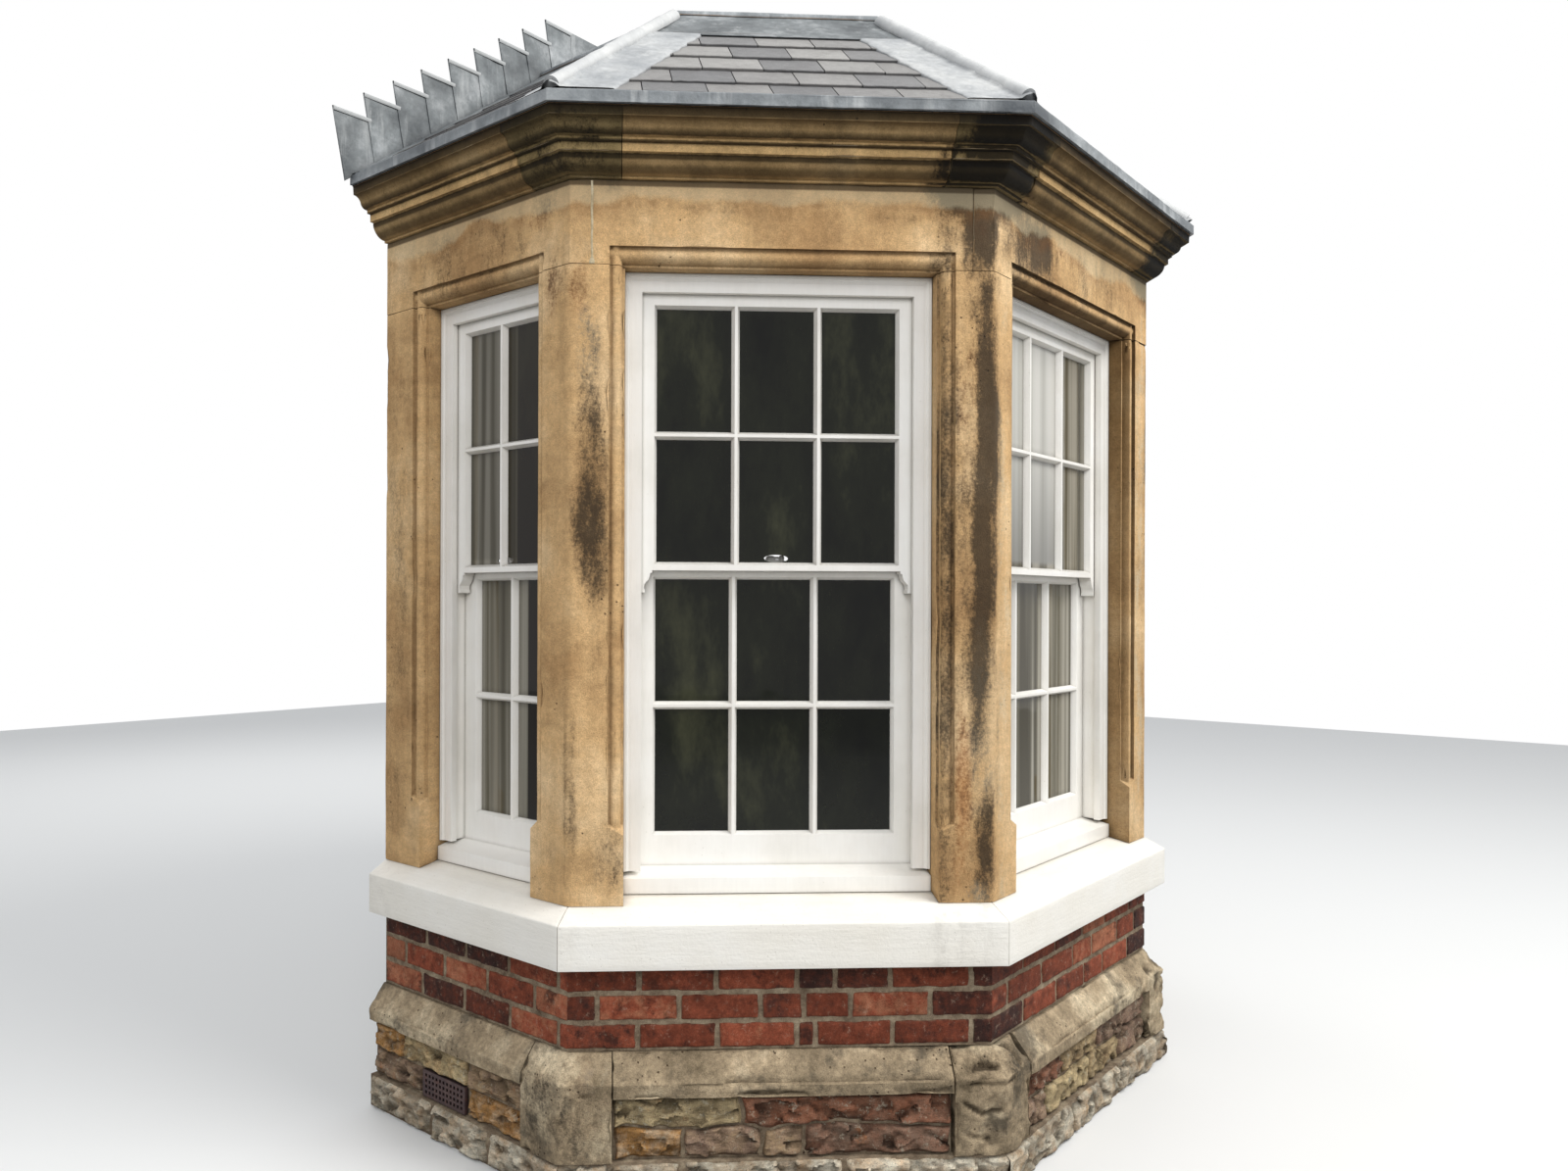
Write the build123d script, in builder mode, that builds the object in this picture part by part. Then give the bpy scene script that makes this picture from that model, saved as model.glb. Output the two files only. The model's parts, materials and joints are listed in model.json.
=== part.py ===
from build123d import *
from math import atan2, cos, radians, sin, tan
import os

os.makedirs("parts", exist_ok=True)

# Sandstone bay window in half-octagon plan: two returns square to the house wall,
# two cants at 45 degrees and a front parallel to the wall. Millimetres, +Z up,
# X along the house wall, -Y out of it, ground at Z = 0.

# Plan, measured on the face of the stone piers
RETURN = 903
CANT = 1250
FRONT = 1284
TURN = 45
WALL_DEPTH = 250

# Heights above the ground
BASE_COURSE_TOP = 105
RUBBLE_TOP = 288
PLINTH_FASCIA_TOP = 330
PLINTH_TOP = 402
SILL_BOTTOM = 654
SILL_EDGE_TOP = 784
SILL_PIER_TOP = 821
SILL_WINDOW_TOP = 838
PIER_TOP = 2682
FRIEZE_TOP = 2926
CORNICE_TOP = 3085
EAVES_TOP = 3123
ROOF_TOP = 3732

# How far each piece stands out from the pier face
BASE_COURSE_OUT = 75
RUBBLE_OUT = 50
PLINTH_OUT = 65
PLINTH_NECK_OUT = 4
SILL_OUT = 65
CORNICE_OUT = 135
SLATE_OUT = 137
EAVES_OUT = 150

# Openings and the roll moulding round them
JAMB = 163
WALL_JAMB = 195
MOULD_WIDTH = 46
MOULD_HEAD = 53
MOULD_DEPTH = 34
MOULD_FILLET = 8
MOULD_STEP = 7
ROLL_DEPTH = 9
QUIRK_DEPTH = 13
QUIRK_WIDTH = 4
MOULD_STOP = 1052
STOP_FALL = 0.52
STOP_RISE = 0.65
REVEAL = 90
ARRIS = 7

# Lengths of the corner stones, from the corner along each face
PLINTH_CORNER_ARM = 132
LINTEL_WRAP = 65
CORNICE_CORNER_ARM = 150
CORNICE_DEPTH = 120

# Air brick in each return
GRILLE_MIDDLE = 385
GRILLE_WIDTH = 215
GRILLE_BOTTOM = 110
GRILLE_HEIGHT = 85
GRILLE_THICKNESS = 12
GRILLE_RECESS = 6
GRILLE_POCKET = 60
GRILLE_HOLE = 10
GRILLE_PITCH = 18
GRILLE_COLUMNS = 11
GRILLE_ROWS = 4

# Sash windows, depths measured inwards from the pier face
FRAME_BACK = 230
LINING_WIDTH = 52
LINING_THICKNESS = 22
PULLEY_STILE = 32
FRAME_HEAD = 54
STAFF_WIDTH = 24
STAFF_OUT = 9
CILL_TOP = 903
CILL_NOSE = 15
CILL_EDGE = 46
SASH_THICKNESS = 44
UPPER_SASH_FRONT = 114
LOWER_SASH_FRONT = 162
STILE = 65
TOP_RAIL = 62
MEETING_TOP = 1825
MEETING_RAIL = 51
BOTTOM_RAIL = 100
GLAZING_BAR = 25
GLASS = 4
HORN = 68
HORN_WIDTH = 52
HORN_FOOT = 23
HORN_NOTCH = 10
CLEARANCE = 1
PANES_WIDE = [2, 3, 3, 3, 2]
FASTENER_LENGTH = 76
FASTENER_WIDTH = 26
FASTENER_BASE = 12
FASTENER_CAP = 15
FASTENER_KNOB = 10
FASTENER_SIDES = 12

# Roof: how far in from the pier face the flat top begins, for each face
ROOF_IN = [700, 640, 590, 640, 700]
ROOF_THICKNESS = 55
FLAT_THICKNESS = 30
FLAT_RAISE = 14
NOSING = 20
ROLL_SPACING = 560
HIP_ROLL = 20
HIP_WING = 180
LEAD = 4
APRON = 265
APRON_FLARE = 75
SOAKER = 90
STEP_RISE = 80
STEP_RUN = 117
STEPS = 9
STEP_START = -215
STEP_FOOT = -172
STEP_FIRST_TOP = 3331
STEP_LEAN = 29
CEILING_BOTTOM = 2700
CEILING_THICKNESS = 30

half_turn = radians(TURN / 2)
turn_cos = cos(radians(TURN))
cant_run = CANT * turn_cos
half_width = FRONT / 2 + cant_run
depth_out = RETURN + CANT * sin(radians(TURN))
wall_y = (depth_out + EAVES_OUT) / 2
roof_rise = ROOF_TOP - EAVES_TOP
longest = 3000

FACES = ["left_return", "left_cant", "front", "right_cant", "right_return"]

# Corners of the pier face in plan, from the wall on the left to the wall on the right
corners = [
    Vector(-half_width, wall_y),
    Vector(-half_width, wall_y - RETURN),
    Vector(-FRONT / 2, wall_y - depth_out),
    Vector(FRONT / 2, wall_y - depth_out),
    Vector(half_width, wall_y - RETURN),
    Vector(half_width, wall_y),
]


def along(face):
    """Direction from the left end of a face to its right end, seen from outside."""
    return (corners[face + 1] - corners[face]).normalized()


def outward(face):
    """Direction that a face looks."""
    return Vector(along(face).Y, -along(face).X)


def face_length(face):
    return (corners[face + 1] - corners[face]).length


def opening(face):
    """Distances along a face to its left and right jambs."""
    left = WALL_JAMB if face == 0 else JAMB
    right = WALL_JAMB if face == 4 else JAMB
    return left, face_length(face) - right


def between_arms(face, arm):
    """Where a length between two corner stones starts and ends along a face."""
    first = arm if face > 0 else 0
    last = face_length(face) - (arm if face < 4 else 0)
    return first, last


def ring_point(corner, out):
    """Plan corner of a line drawn round the bay at a distance out from the pier face."""
    if corner in (0, 5):
        side = outward(0) if corner == 0 else outward(4)
        return corners[corner] + side * out
    bisector = (outward(corner - 1) + outward(corner)).normalized()
    return corners[corner] + bisector * (out / cos(half_turn))


def ring(out):
    return [ring_point(corner, out) for corner in range(6)]


def plan(points):
    """The same points as plain X and Y pairs."""
    return [(point.X, point.Y) for point in points]


def section_plane(face, distance):
    """Upright plane across a face: X points outwards, Y is the height."""
    start = corners[face] + along(face) * distance
    return Plane(origin=start, x_dir=outward(face), z_dir=along(face) * -1)


def plan_plane(face, height):
    """Level plane at a height: X runs along the face, Y goes inwards."""
    start = corners[face] + Vector(0, 0, height)
    return Plane(origin=start, x_dir=along(face), z_dir=(0, 0, 1))


def elevation_plane(face, inwards):
    """Upright plane parallel to a face: X runs along it, Y is the height."""
    start = corners[face] - outward(face) * inwards
    return Plane(origin=start, x_dir=along(face), z_dir=outward(face))


def mitre_plane(corner):
    """Upright plane in which two faces meet, or the house wall at either end."""
    if corner == 0:
        return Plane(origin=corners[0], z_dir=along(0))
    if corner == 5:
        return Plane(origin=corners[5], z_dir=along(4))
    return Plane(origin=corners[corner], z_dir=along(corner - 1) + along(corner))


def flat_section(points):
    """A section across a face: X outwards from the pier face, Y the height."""
    with BuildSketch() as section:
        Polygon(*points, align=None)
    return section


def mitred_run(face, section, end_plane=mitre_plane):
    """One length of a moulding along a whole face, cut in the planes at its ends."""
    with BuildPart() as run:
        with BuildSketch(section_plane(face, 0)):
            add(section.sketch_local)
        extrude(amount=longest, both=True)
        split(bisect_by=end_plane(face), keep=Keep.TOP)
        split(bisect_by=end_plane(face + 1), keep=Keep.BOTTOM)
    return run


def square_run(face, start, end, section):
    """One length of a moulding between two square joints."""
    with BuildPart() as run:
        with BuildSketch(section_plane(face, start)):
            add(section.sketch_local)
        extrude(amount=start - end)
    return run


def corner_run(first, start, last, end, section):
    """A moulding carried round one or more corners, from a joint to a joint."""
    path_points = [corners[first] + along(first) * start]
    path_points += [corners[corner] for corner in range(first + 1, last + 1)]
    path_points += [corners[last] + along(last) * end]
    with BuildPart() as run:
        with BuildLine() as path:
            Polyline(*path_points)
        with BuildSketch(section_plane(first, start)):
            add(section.sketch_local)
        sweep(path=path.line, transition=Transition.RIGHT)
    return run


def corner_stones(arm, section):
    """The four stones that turn the corners, each with an arm on either face."""
    stones = []
    for corner in range(1, 5):
        before = face_length(corner - 1) - arm
        stones.append(corner_run(corner - 1, before, corner, arm, section))
    return stones


def lengths_between(arm, section):
    """The five straight lengths between those corner stones."""
    return [square_run(face, *between_arms(face, arm), section) for face in range(5)]


def save(piece, name):
    piece.part.label = name
    export_step(piece.part, f"parts/{name}.step")


def save_all(pieces, name):
    """Several solids that don't touch, kept under one name."""
    with BuildPart() as group:
        for piece in pieces:
            add(piece.part)
    save(group, name)
    return group


def grille_pocket(face):
    """The hole for the air brick in the rubble of a return."""
    middle = GRILLE_MIDDLE if face == 0 else RETURN - GRILLE_MIDDLE
    with BuildPart() as pocket:
        with BuildSketch(elevation_plane(face, GRILLE_POCKET - RUBBLE_OUT)):
            with Locations((middle, GRILLE_BOTTOM + GRILLE_HEIGHT / 2)):
                Rectangle(GRILLE_WIDTH, GRILLE_HEIGHT)
        extrude(amount=GRILLE_POCKET)
    return pocket


def air_brick(face):
    """Cast grille with rows of square holes, set back a little in the wall."""
    middle = GRILLE_MIDDLE if face == 0 else RETURN - GRILLE_MIDDLE
    back = GRILLE_RECESS + GRILLE_THICKNESS - RUBBLE_OUT
    with BuildPart() as grille:
        with BuildSketch(elevation_plane(face, back)):
            with Locations((middle, GRILLE_BOTTOM + GRILLE_HEIGHT / 2)):
                Rectangle(GRILLE_WIDTH, GRILLE_HEIGHT)
                with GridLocations(GRILLE_PITCH, GRILLE_PITCH, GRILLE_COLUMNS, GRILLE_ROWS):
                    Rectangle(GRILLE_HOLE, GRILLE_HOLE, mode=Mode.SUBTRACT)
        extrude(amount=GRILLE_THICKNESS)
    return grille


# Rubble walls on their base course, with an air brick in each return
base_course_section = flat_section(
    [
        (-WALL_DEPTH, 0),
        (BASE_COURSE_OUT, 0),
        (BASE_COURSE_OUT, BASE_COURSE_TOP),
        (-WALL_DEPTH, BASE_COURSE_TOP),
    ]
)
rubble_section = flat_section(
    [
        (-WALL_DEPTH, BASE_COURSE_TOP),
        (RUBBLE_OUT, BASE_COURSE_TOP),
        (RUBBLE_OUT, RUBBLE_TOP),
        (-WALL_DEPTH, RUBBLE_TOP),
    ]
)
for face, name in enumerate(FACES):
    base = mitred_run(face, base_course_section)
    stones = square_run(face, *between_arms(face, PLINTH_CORNER_ARM), rubble_section)
    with BuildPart() as rubble:
        add(base.part)
        add(stones.part)
        if face in (0, 4):
            add(grille_pocket(face).part, mode=Mode.SUBTRACT)
    save(rubble, f"rubble_wall_{name}")
save_all([air_brick(0), air_brick(4)], "air_bricks")

# Weathered plinth, with taller dressed stones at the corners
plinth_section = flat_section(
    [
        (-WALL_DEPTH, RUBBLE_TOP),
        (PLINTH_OUT, RUBBLE_TOP),
        (PLINTH_OUT, PLINTH_FASCIA_TOP),
        (PLINTH_NECK_OUT, PLINTH_TOP),
        (-WALL_DEPTH, PLINTH_TOP),
    ]
)
plinth_corner_section = flat_section(
    [
        (-WALL_DEPTH, BASE_COURSE_TOP),
        (PLINTH_OUT, BASE_COURSE_TOP),
        (PLINTH_OUT, PLINTH_FASCIA_TOP),
        (PLINTH_NECK_OUT, PLINTH_TOP),
        (-WALL_DEPTH, PLINTH_TOP),
    ]
)
save_all(lengths_between(PLINTH_CORNER_ARM, plinth_section), "plinth_lengths")
save_all(corner_stones(PLINTH_CORNER_ARM, plinth_corner_section), "plinth_corner_stones")

# Brick dado
dado_section = flat_section(
    [(-WALL_DEPTH, PLINTH_TOP), (0, PLINTH_TOP), (0, SILL_BOTTOM), (-WALL_DEPTH, SILL_BOTTOM)]
)
for face, name in enumerate(FACES):
    dado = mitred_run(face, dado_section)
    save(dado, f"brick_dado_{name}")

# Painted stone sills, weathered on top
sill_section = flat_section(
    [
        (-WALL_DEPTH, SILL_BOTTOM),
        (SILL_OUT, SILL_BOTTOM),
        (SILL_OUT, SILL_EDGE_TOP),
        (0, SILL_PIER_TOP),
        (-REVEAL, SILL_WINDOW_TOP),
        (-WALL_DEPTH, SILL_WINDOW_TOP),
    ]
)
sills = [mitred_run(face, sill_section) for face in range(5)]
for sill, name in zip(sills, FACES):
    save(sill, f"sill_{name}")


def mould_points(width):
    """The moulding from the inner arris to beyond the outer one: distance across, depth."""
    return [
        (0, MOULD_DEPTH),
        (MOULD_FILLET, MOULD_DEPTH),
        (MOULD_FILLET, MOULD_DEPTH - MOULD_STEP),
        (width / 2, ROLL_DEPTH),
        (width - QUIRK_WIDTH, QUIRK_DEPTH),
        (width, QUIRK_DEPTH),
        (width, -MOULD_DEPTH),
    ]


def stop_plane(face, edge, way):
    """Sloping top of the block in which a jamb's moulding stops."""
    origin = corners[face] + along(face) * edge + Vector(0, 0, MOULD_STOP)
    normal = along(face) * (way * STOP_FALL) + outward(face) * STOP_RISE + Vector(0, 0, 1)
    return Plane(origin=origin, z_dir=normal)


def moulded_void(face):
    """The hollow that the moulding cuts round an opening, mitred at the head."""
    left, right = opening(face)
    sides = mould_points(MOULD_WIDTH)
    left_side = [(left - across, depth) for across, depth in sides]
    right_side = [(right + across, depth) for across, depth in sides]
    head = [(-depth, PIER_TOP + across) for across, depth in mould_points(MOULD_HEAD)]
    with BuildPart() as void:
        with BuildSketch(plan_plane(face, SILL_EDGE_TOP)):
            with BuildLine():
                Polyline(left_side[2], left_side[1], left_side[0], *right_side[:3])
                ThreePointArc(*right_side[2:5])
                Polyline(*right_side[4:], *reversed(left_side[4:]))
                ThreePointArc(*left_side[2:5])
            make_face()
        extrude(amount=PIER_TOP + MOULD_HEAD - SILL_EDGE_TOP)
        with BuildSketch(section_plane(face, left - MOULD_WIDTH)):
            with BuildLine():
                Polyline(
                    head[4],
                    *head[5:],
                    (MOULD_DEPTH, SILL_EDGE_TOP),
                    (-MOULD_DEPTH, SILL_EDGE_TOP),
                    *head[:3],
                )
                ThreePointArc(*head[2:5])
            make_face()
        extrude(amount=left - right - 2 * MOULD_WIDTH, mode=Mode.INTERSECT)
        split(bisect_by=stop_plane(face, left - MOULD_WIDTH, 1), keep=Keep.TOP)
        split(bisect_by=stop_plane(face, right + MOULD_WIDTH, -1), keep=Keep.TOP)
    return void


voids = [moulded_void(face) for face in range(5)]

# Corner piers with their arris taken off, then the two piers against the house wall
for corner, name in enumerate(["outer_left", "front_left", "front_right", "outer_right"], start=1):
    before = corners[corner] - along(corner - 1) * JAMB
    after = corners[corner] + along(corner) * JAMB
    outline = [
        before,
        corners[corner] - along(corner - 1) * ARRIS,
        corners[corner] + along(corner) * ARRIS,
        after,
        after - outward(corner) * WALL_DEPTH,
        ring_point(corner, -WALL_DEPTH),
        before - outward(corner - 1) * WALL_DEPTH,
    ]
    with BuildPart() as pier:
        with BuildSketch(Plane.XY.offset(SILL_EDGE_TOP)):
            Polygon(*plan(outline), align=None)
        extrude(amount=PIER_TOP - SILL_EDGE_TOP)
        for piece in (voids[corner - 1], voids[corner], sills[corner - 1], sills[corner]):
            add(piece.part, mode=Mode.SUBTRACT)
    save(pier, f"pier_{name}")

for face, start, side in ((0, 0, "left"), (4, RETURN - WALL_JAMB, "right")):
    with BuildPart() as pier:
        with BuildSketch(plan_plane(face, SILL_EDGE_TOP)):
            with Locations((start + WALL_JAMB / 2, WALL_DEPTH / 2)):
                Rectangle(WALL_JAMB, WALL_DEPTH)
        extrude(amount=PIER_TOP - SILL_EDGE_TOP)
        for piece in (voids[face], sills[face]):
            add(piece.part, mode=Mode.SUBTRACT)
    save(pier, f"wall_pier_{side}")


def lintel_wrap(corner):
    """The short arm by which a lintel runs round a corner onto the cant."""
    cant = 1 if corner < 3 else 3
    way = along(cant) if corner == cant else along(cant) * -1
    joint = corners[corner] + way * LINTEL_WRAP
    back = ring_point(corner, -LINTEL_WRAP / tan(half_turn))
    with BuildPart() as arm:
        with BuildSketch(Plane.XY.offset(PIER_TOP)):
            Polygon(*plan([corners[corner], joint, back]), align=None)
        extrude(amount=FRIEZE_TOP - PIER_TOP)
    return arm


# Lintels: those of the front and the returns run round the corners onto the cants
lintel_section = flat_section(
    [(-WALL_DEPTH, PIER_TOP), (0, PIER_TOP), (0, FRIEZE_TOP), (-WALL_DEPTH, FRIEZE_TOP)]
)
wraps = [lintel_wrap(corner) for corner in range(1, 5)]
for face, name in enumerate(FACES):
    arm_mode = Mode.SUBTRACT if face in (1, 3) else Mode.ADD
    body = mitred_run(face, lintel_section)
    with BuildPart() as lintel:
        add(body.part)
        for corner in (face, face + 1):
            if 0 < corner < 5:
                add(wraps[corner - 1].part, mode=arm_mode)
        for void in voids:
            add(void.part, mode=Mode.SUBTRACT)
    save(lintel, f"lintel_{name}")

# Cornice: ovolo, fascia with its fillet, and an ogee under the eaves
with BuildSketch() as cornice_section:
    with BuildLine():
        Polyline((-CORNICE_DEPTH, FRIEZE_TOP), (11, FRIEZE_TOP), (11, 2933), (17, 2933))
        ThreePointArc((17, 2933), (45, 2948), (58, 2976))
        Polyline((58, 2976), (58, 2982), (70, 2982), (70, 3007), (82, 3007), (82, 3018), (86, 3018))
        ThreePointArc((86, 3018), (101, 3024), (109, 3038))
        ThreePointArc((109, 3038), (116, 3050), (130, 3056))
        Polyline((130, 3056), (CORNICE_OUT, 3056), (CORNICE_OUT, CORNICE_TOP))
        Polyline((CORNICE_OUT, CORNICE_TOP), (-CORNICE_DEPTH, CORNICE_TOP), (-CORNICE_DEPTH, FRIEZE_TOP))
    make_face()
save_all(lengths_between(CORNICE_CORNER_ARM, cornice_section), "cornice_lengths")
save_all(corner_stones(CORNICE_CORNER_ARM, cornice_section), "cornice_corner_blocks")


def staff_section():
    """Staff bead round the frame: a fillet, a groove and a cove, across and proud."""
    with BuildSketch() as section:
        with BuildLine():
            Polyline((0, 0), (0, STAFF_OUT), (6, STAFF_OUT), (6, STAFF_OUT - 3), (10, STAFF_OUT - 3))
            ThreePointArc((10, STAFF_OUT - 3), (14, 2), (STAFF_WIDTH - 3, 1))
            Polyline((STAFF_WIDTH - 3, 1), (STAFF_WIDTH - 3, 0), (0, 0))
        make_face()
    return section


def box_frame(face):
    """Box frame of a sash window: linings, sloping cill and staff bead."""
    left, right = opening(face)
    middle = (left + right) / 2
    width = right - left
    height = PIER_TOP - CILL_TOP
    centre = (middle, CILL_TOP + height / 2)
    groove = FRAME_BACK - REVEAL - 2 * LINING_THICKNESS
    with BuildPart() as frame:
        with BuildSketch(elevation_plane(face, FRAME_BACK)):
            with Locations(centre):
                Rectangle(width, height)
                with Locations((0, -FRAME_HEAD / 2)):
                    Rectangle(width - 2 * LINING_WIDTH, height - FRAME_HEAD, mode=Mode.SUBTRACT)
        extrude(amount=FRAME_BACK - REVEAL)
        with BuildSketch(elevation_plane(face, FRAME_BACK - LINING_THICKNESS)):
            with Locations(centre):
                with Locations((0, -PULLEY_STILE / 2)):
                    Rectangle(width - 2 * PULLEY_STILE, height - PULLEY_STILE)
        extrude(amount=groove, mode=Mode.SUBTRACT)
        with BuildSketch(section_plane(face, left)):
            Polygon(
                (-FRAME_BACK, SILL_WINDOW_TOP),
                (-REVEAL + CILL_NOSE, SILL_WINDOW_TOP),
                (-REVEAL + CILL_NOSE, SILL_WINDOW_TOP + CILL_EDGE),
                (-LOWER_SASH_FRONT, CILL_TOP),
                (-FRAME_BACK, CILL_TOP),
                align=None,
            )
        extrude(amount=left - right)
        start = elevation_plane(face, REVEAL).from_local_coords((left, CILL_TOP, 0))
        with BuildLine(elevation_plane(face, REVEAL)) as edge:
            Polyline((left, CILL_TOP), (left, PIER_TOP), (right, PIER_TOP), (right, CILL_TOP))
        with BuildSketch(Plane(origin=start, x_dir=along(face), z_dir=(0, 0, -1))):
            add(staff_section().sketch_local)
        sweep(path=edge.line, transition=Transition.RIGHT)
    return frame


for face, name in enumerate(FACES):
    save(box_frame(face), f"box_frame_{name}")


def sash(face, bottom, top, bottom_rail, top_rail, front):
    """One glazed sash with its bars, two panes high."""
    left, right = opening(face)
    middle = (left + right) / 2
    width = right - left - 2 * (PULLEY_STILE + CLEARANCE)
    columns = PANES_WIDE[face]
    pane_width = (width - 2 * STILE - (columns - 1) * GLAZING_BAR) / columns
    glass_height = top - bottom - bottom_rail - top_rail
    pane_height = (glass_height - GLAZING_BAR) / 2
    glass_middle = bottom + bottom_rail + glass_height / 2
    pitches = (pane_width + GLAZING_BAR, pane_height + GLAZING_BAR, columns, 2)
    with BuildPart() as wood:
        with BuildSketch(elevation_plane(face, front + SASH_THICKNESS)):
            with Locations((middle, (bottom + top) / 2)):
                Rectangle(width, top - bottom)
            with Locations((middle, glass_middle)):
                with GridLocations(*pitches):
                    Rectangle(pane_width, pane_height, mode=Mode.SUBTRACT)
        extrude(amount=SASH_THICKNESS)
    with BuildPart() as panes:
        with BuildSketch(elevation_plane(face, front + (SASH_THICKNESS + GLASS) / 2)):
            with Locations((middle, glass_middle)):
                with GridLocations(*pitches):
                    Rectangle(pane_width, pane_height)
        extrude(amount=GLASS)
    return wood, panes


def horn(face, edge, way):
    """Ogee horn that carries an upper sash's stile down past the meeting rail."""
    top = MEETING_TOP - MEETING_RAIL / 2
    with BuildPart() as piece:
        with BuildSketch(elevation_plane(face, UPPER_SASH_FRONT + SASH_THICKNESS)):
            with BuildLine():
                Polyline(
                    (edge + way * HORN_WIDTH, top - HORN_NOTCH),
                    (edge + way * HORN_WIDTH, top),
                    (edge, top),
                    (edge, top - HORN),
                    (edge + way * HORN_FOOT, top - HORN),
                )
                ThreePointArc(
                    (edge + way * HORN_FOOT, top - HORN),
                    (edge + way * HORN_WIDTH * 0.8, top - HORN * 0.6),
                    (edge + way * HORN_WIDTH, top - HORN_NOTCH),
                )
            make_face()
        extrude(amount=SASH_THICKNESS)
    return piece


upper_wood = []
lower_wood = []
all_panes = []
for face in range(5):
    left, right = opening(face)
    head = PIER_TOP - PULLEY_STILE - CLEARANCE
    middle_rail = MEETING_TOP - MEETING_RAIL / 2
    wood, panes = sash(face, middle_rail, head, MEETING_RAIL / 2, TOP_RAIL, UPPER_SASH_FRONT)
    with BuildPart() as upper:
        add(wood.part)
        add(horn(face, left + PULLEY_STILE + CLEARANCE, 1).part)
        add(horn(face, right - PULLEY_STILE - CLEARANCE, -1).part)
    upper_wood.append(upper)
    all_panes.append(panes)
    wood, panes = sash(face, CILL_TOP, MEETING_TOP, BOTTOM_RAIL, MEETING_RAIL, LOWER_SASH_FRONT)
    lower_wood.append(wood)
    all_panes.append(panes)
save_all(upper_wood, "upper_sashes")
save_all(lower_wood, "lower_sashes")
save_all(all_panes, "glass_panes")


def fastener(face):
    """Sash fastener on the meeting rails: base, turning cap and a knob on its arm."""
    left, right = opening(face)
    middle = (left + right) / 2
    seat = LOWER_SASH_FRONT + SASH_THICKNESS / 2
    with BuildPart() as piece:
        with BuildSketch(plan_plane(face, MEETING_TOP)):
            with Locations((middle, seat)):
                SlotOverall(FASTENER_LENGTH, FASTENER_WIDTH)
        extrude(amount=FASTENER_BASE)
        with BuildSketch(plan_plane(face, MEETING_TOP + FASTENER_BASE)):
            with Locations((middle - FASTENER_LENGTH / 8, seat)):
                RegularPolygon(FASTENER_CAP, FASTENER_SIDES)
        extrude(amount=FASTENER_KNOB)
        with BuildSketch(plan_plane(face, MEETING_TOP + FASTENER_BASE)):
            with Locations((middle + FASTENER_LENGTH / 3, seat)):
                RegularPolygon(FASTENER_KNOB, FASTENER_SIDES)
        extrude(amount=FASTENER_KNOB)
    return piece


save_all([fastener(face) for face in range(5)], "sash_fasteners")


def pitch(face):
    return atan2(roof_rise, SLATE_OUT + ROOF_IN[face])


def hip_head(corner, inset=0):
    """Plan corner of the flat top, where the inward distances of two faces meet."""
    if corner in (0, 5):
        face = min(corner, 4)
        return corners[corner] - outward(face) * (ROOF_IN[face] + inset)
    one = outward(corner - 1)
    two = outward(corner)
    first = ROOF_IN[corner - 1] + inset
    second = ROOF_IN[corner] + inset
    shift = (one - two * turn_cos) * first + (two - one * turn_cos) * second
    return corners[corner] - shift / (1 - turn_cos**2)


def hip_foot(corner):
    return ring_point(corner, SLATE_OUT) + Vector(0, 0, EAVES_TOP)


def hip_plane(corner):
    """Upright plane through a hip, or the house wall at either end."""
    if corner in (0, 5):
        return mitre_plane(corner)
    run = hip_head(corner) - ring_point(corner, SLATE_OUT)
    return Plane(origin=ring_point(corner, SLATE_OUT), z_dir=(run.Y, -run.X, 0))


def slope_height(face, out):
    """Height of the slates of a face at a distance out from the pier face."""
    return EAVES_TOP + (SLATE_OUT - out) * tan(pitch(face))


# Slate slopes on their boards
slopes = []
for face, name in enumerate(FACES):
    seat_out = SLATE_OUT - (CORNICE_TOP + ROOF_THICKNESS - EAVES_TOP) / tan(pitch(face))
    slope_section = flat_section(
        [
            (SLATE_OUT, CORNICE_TOP),
            (SLATE_OUT, EAVES_TOP),
            (-ROOF_IN[face], ROOF_TOP),
            (-ROOF_IN[face], ROOF_TOP - ROOF_THICKNESS),
            (seat_out, CORNICE_TOP),
        ]
    )
    slope = mitred_run(face, slope_section, hip_plane)
    slopes.append(slope)
    save(slope, f"slate_slope_{name}")

# Lead drip round the eaves
eaves_section = flat_section(
    [
        (SLATE_OUT, CORNICE_TOP),
        (EAVES_OUT, CORNICE_TOP),
        (EAVES_OUT, EAVES_TOP - LEAD),
        (EAVES_OUT - LEAD, EAVES_TOP),
        (SLATE_OUT, EAVES_TOP),
    ]
)
eaves = corner_run(0, 0, 4, RETURN, eaves_section)
save(eaves, "lead_eaves_drip")


def apron_section(face):
    """Lead dressed over the head of the slates, flared up to the flat's edge."""
    edge = -ROOF_IN[face]
    foot = edge + APRON * cos(pitch(face))
    flare = edge + APRON_FLARE
    with BuildSketch() as section:
        with BuildLine():
            Polyline(
                (edge, ROOF_TOP + FLAT_RAISE),
                (edge, ROOF_TOP),
                (foot, slope_height(face, foot)),
                (foot, slope_height(face, foot) + LEAD),
                (flare, slope_height(face, flare) + LEAD),
            )
            ThreePointArc(
                (flare, slope_height(face, flare) + LEAD),
                (edge + APRON_FLARE / 2, slope_height(face, edge + APRON_FLARE / 2) + 2 * LEAD),
                (edge + NOSING / 2, ROOF_TOP + LEAD),
            )
            Polyline((edge + NOSING / 2, ROOF_TOP + LEAD), (edge, ROOF_TOP + FLAT_RAISE))
        make_face()
    return section


aprons = [mitred_run(face, apron_section(face), hip_plane) for face in range(5)]
apron = save_all(aprons, "lead_apron")

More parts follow.
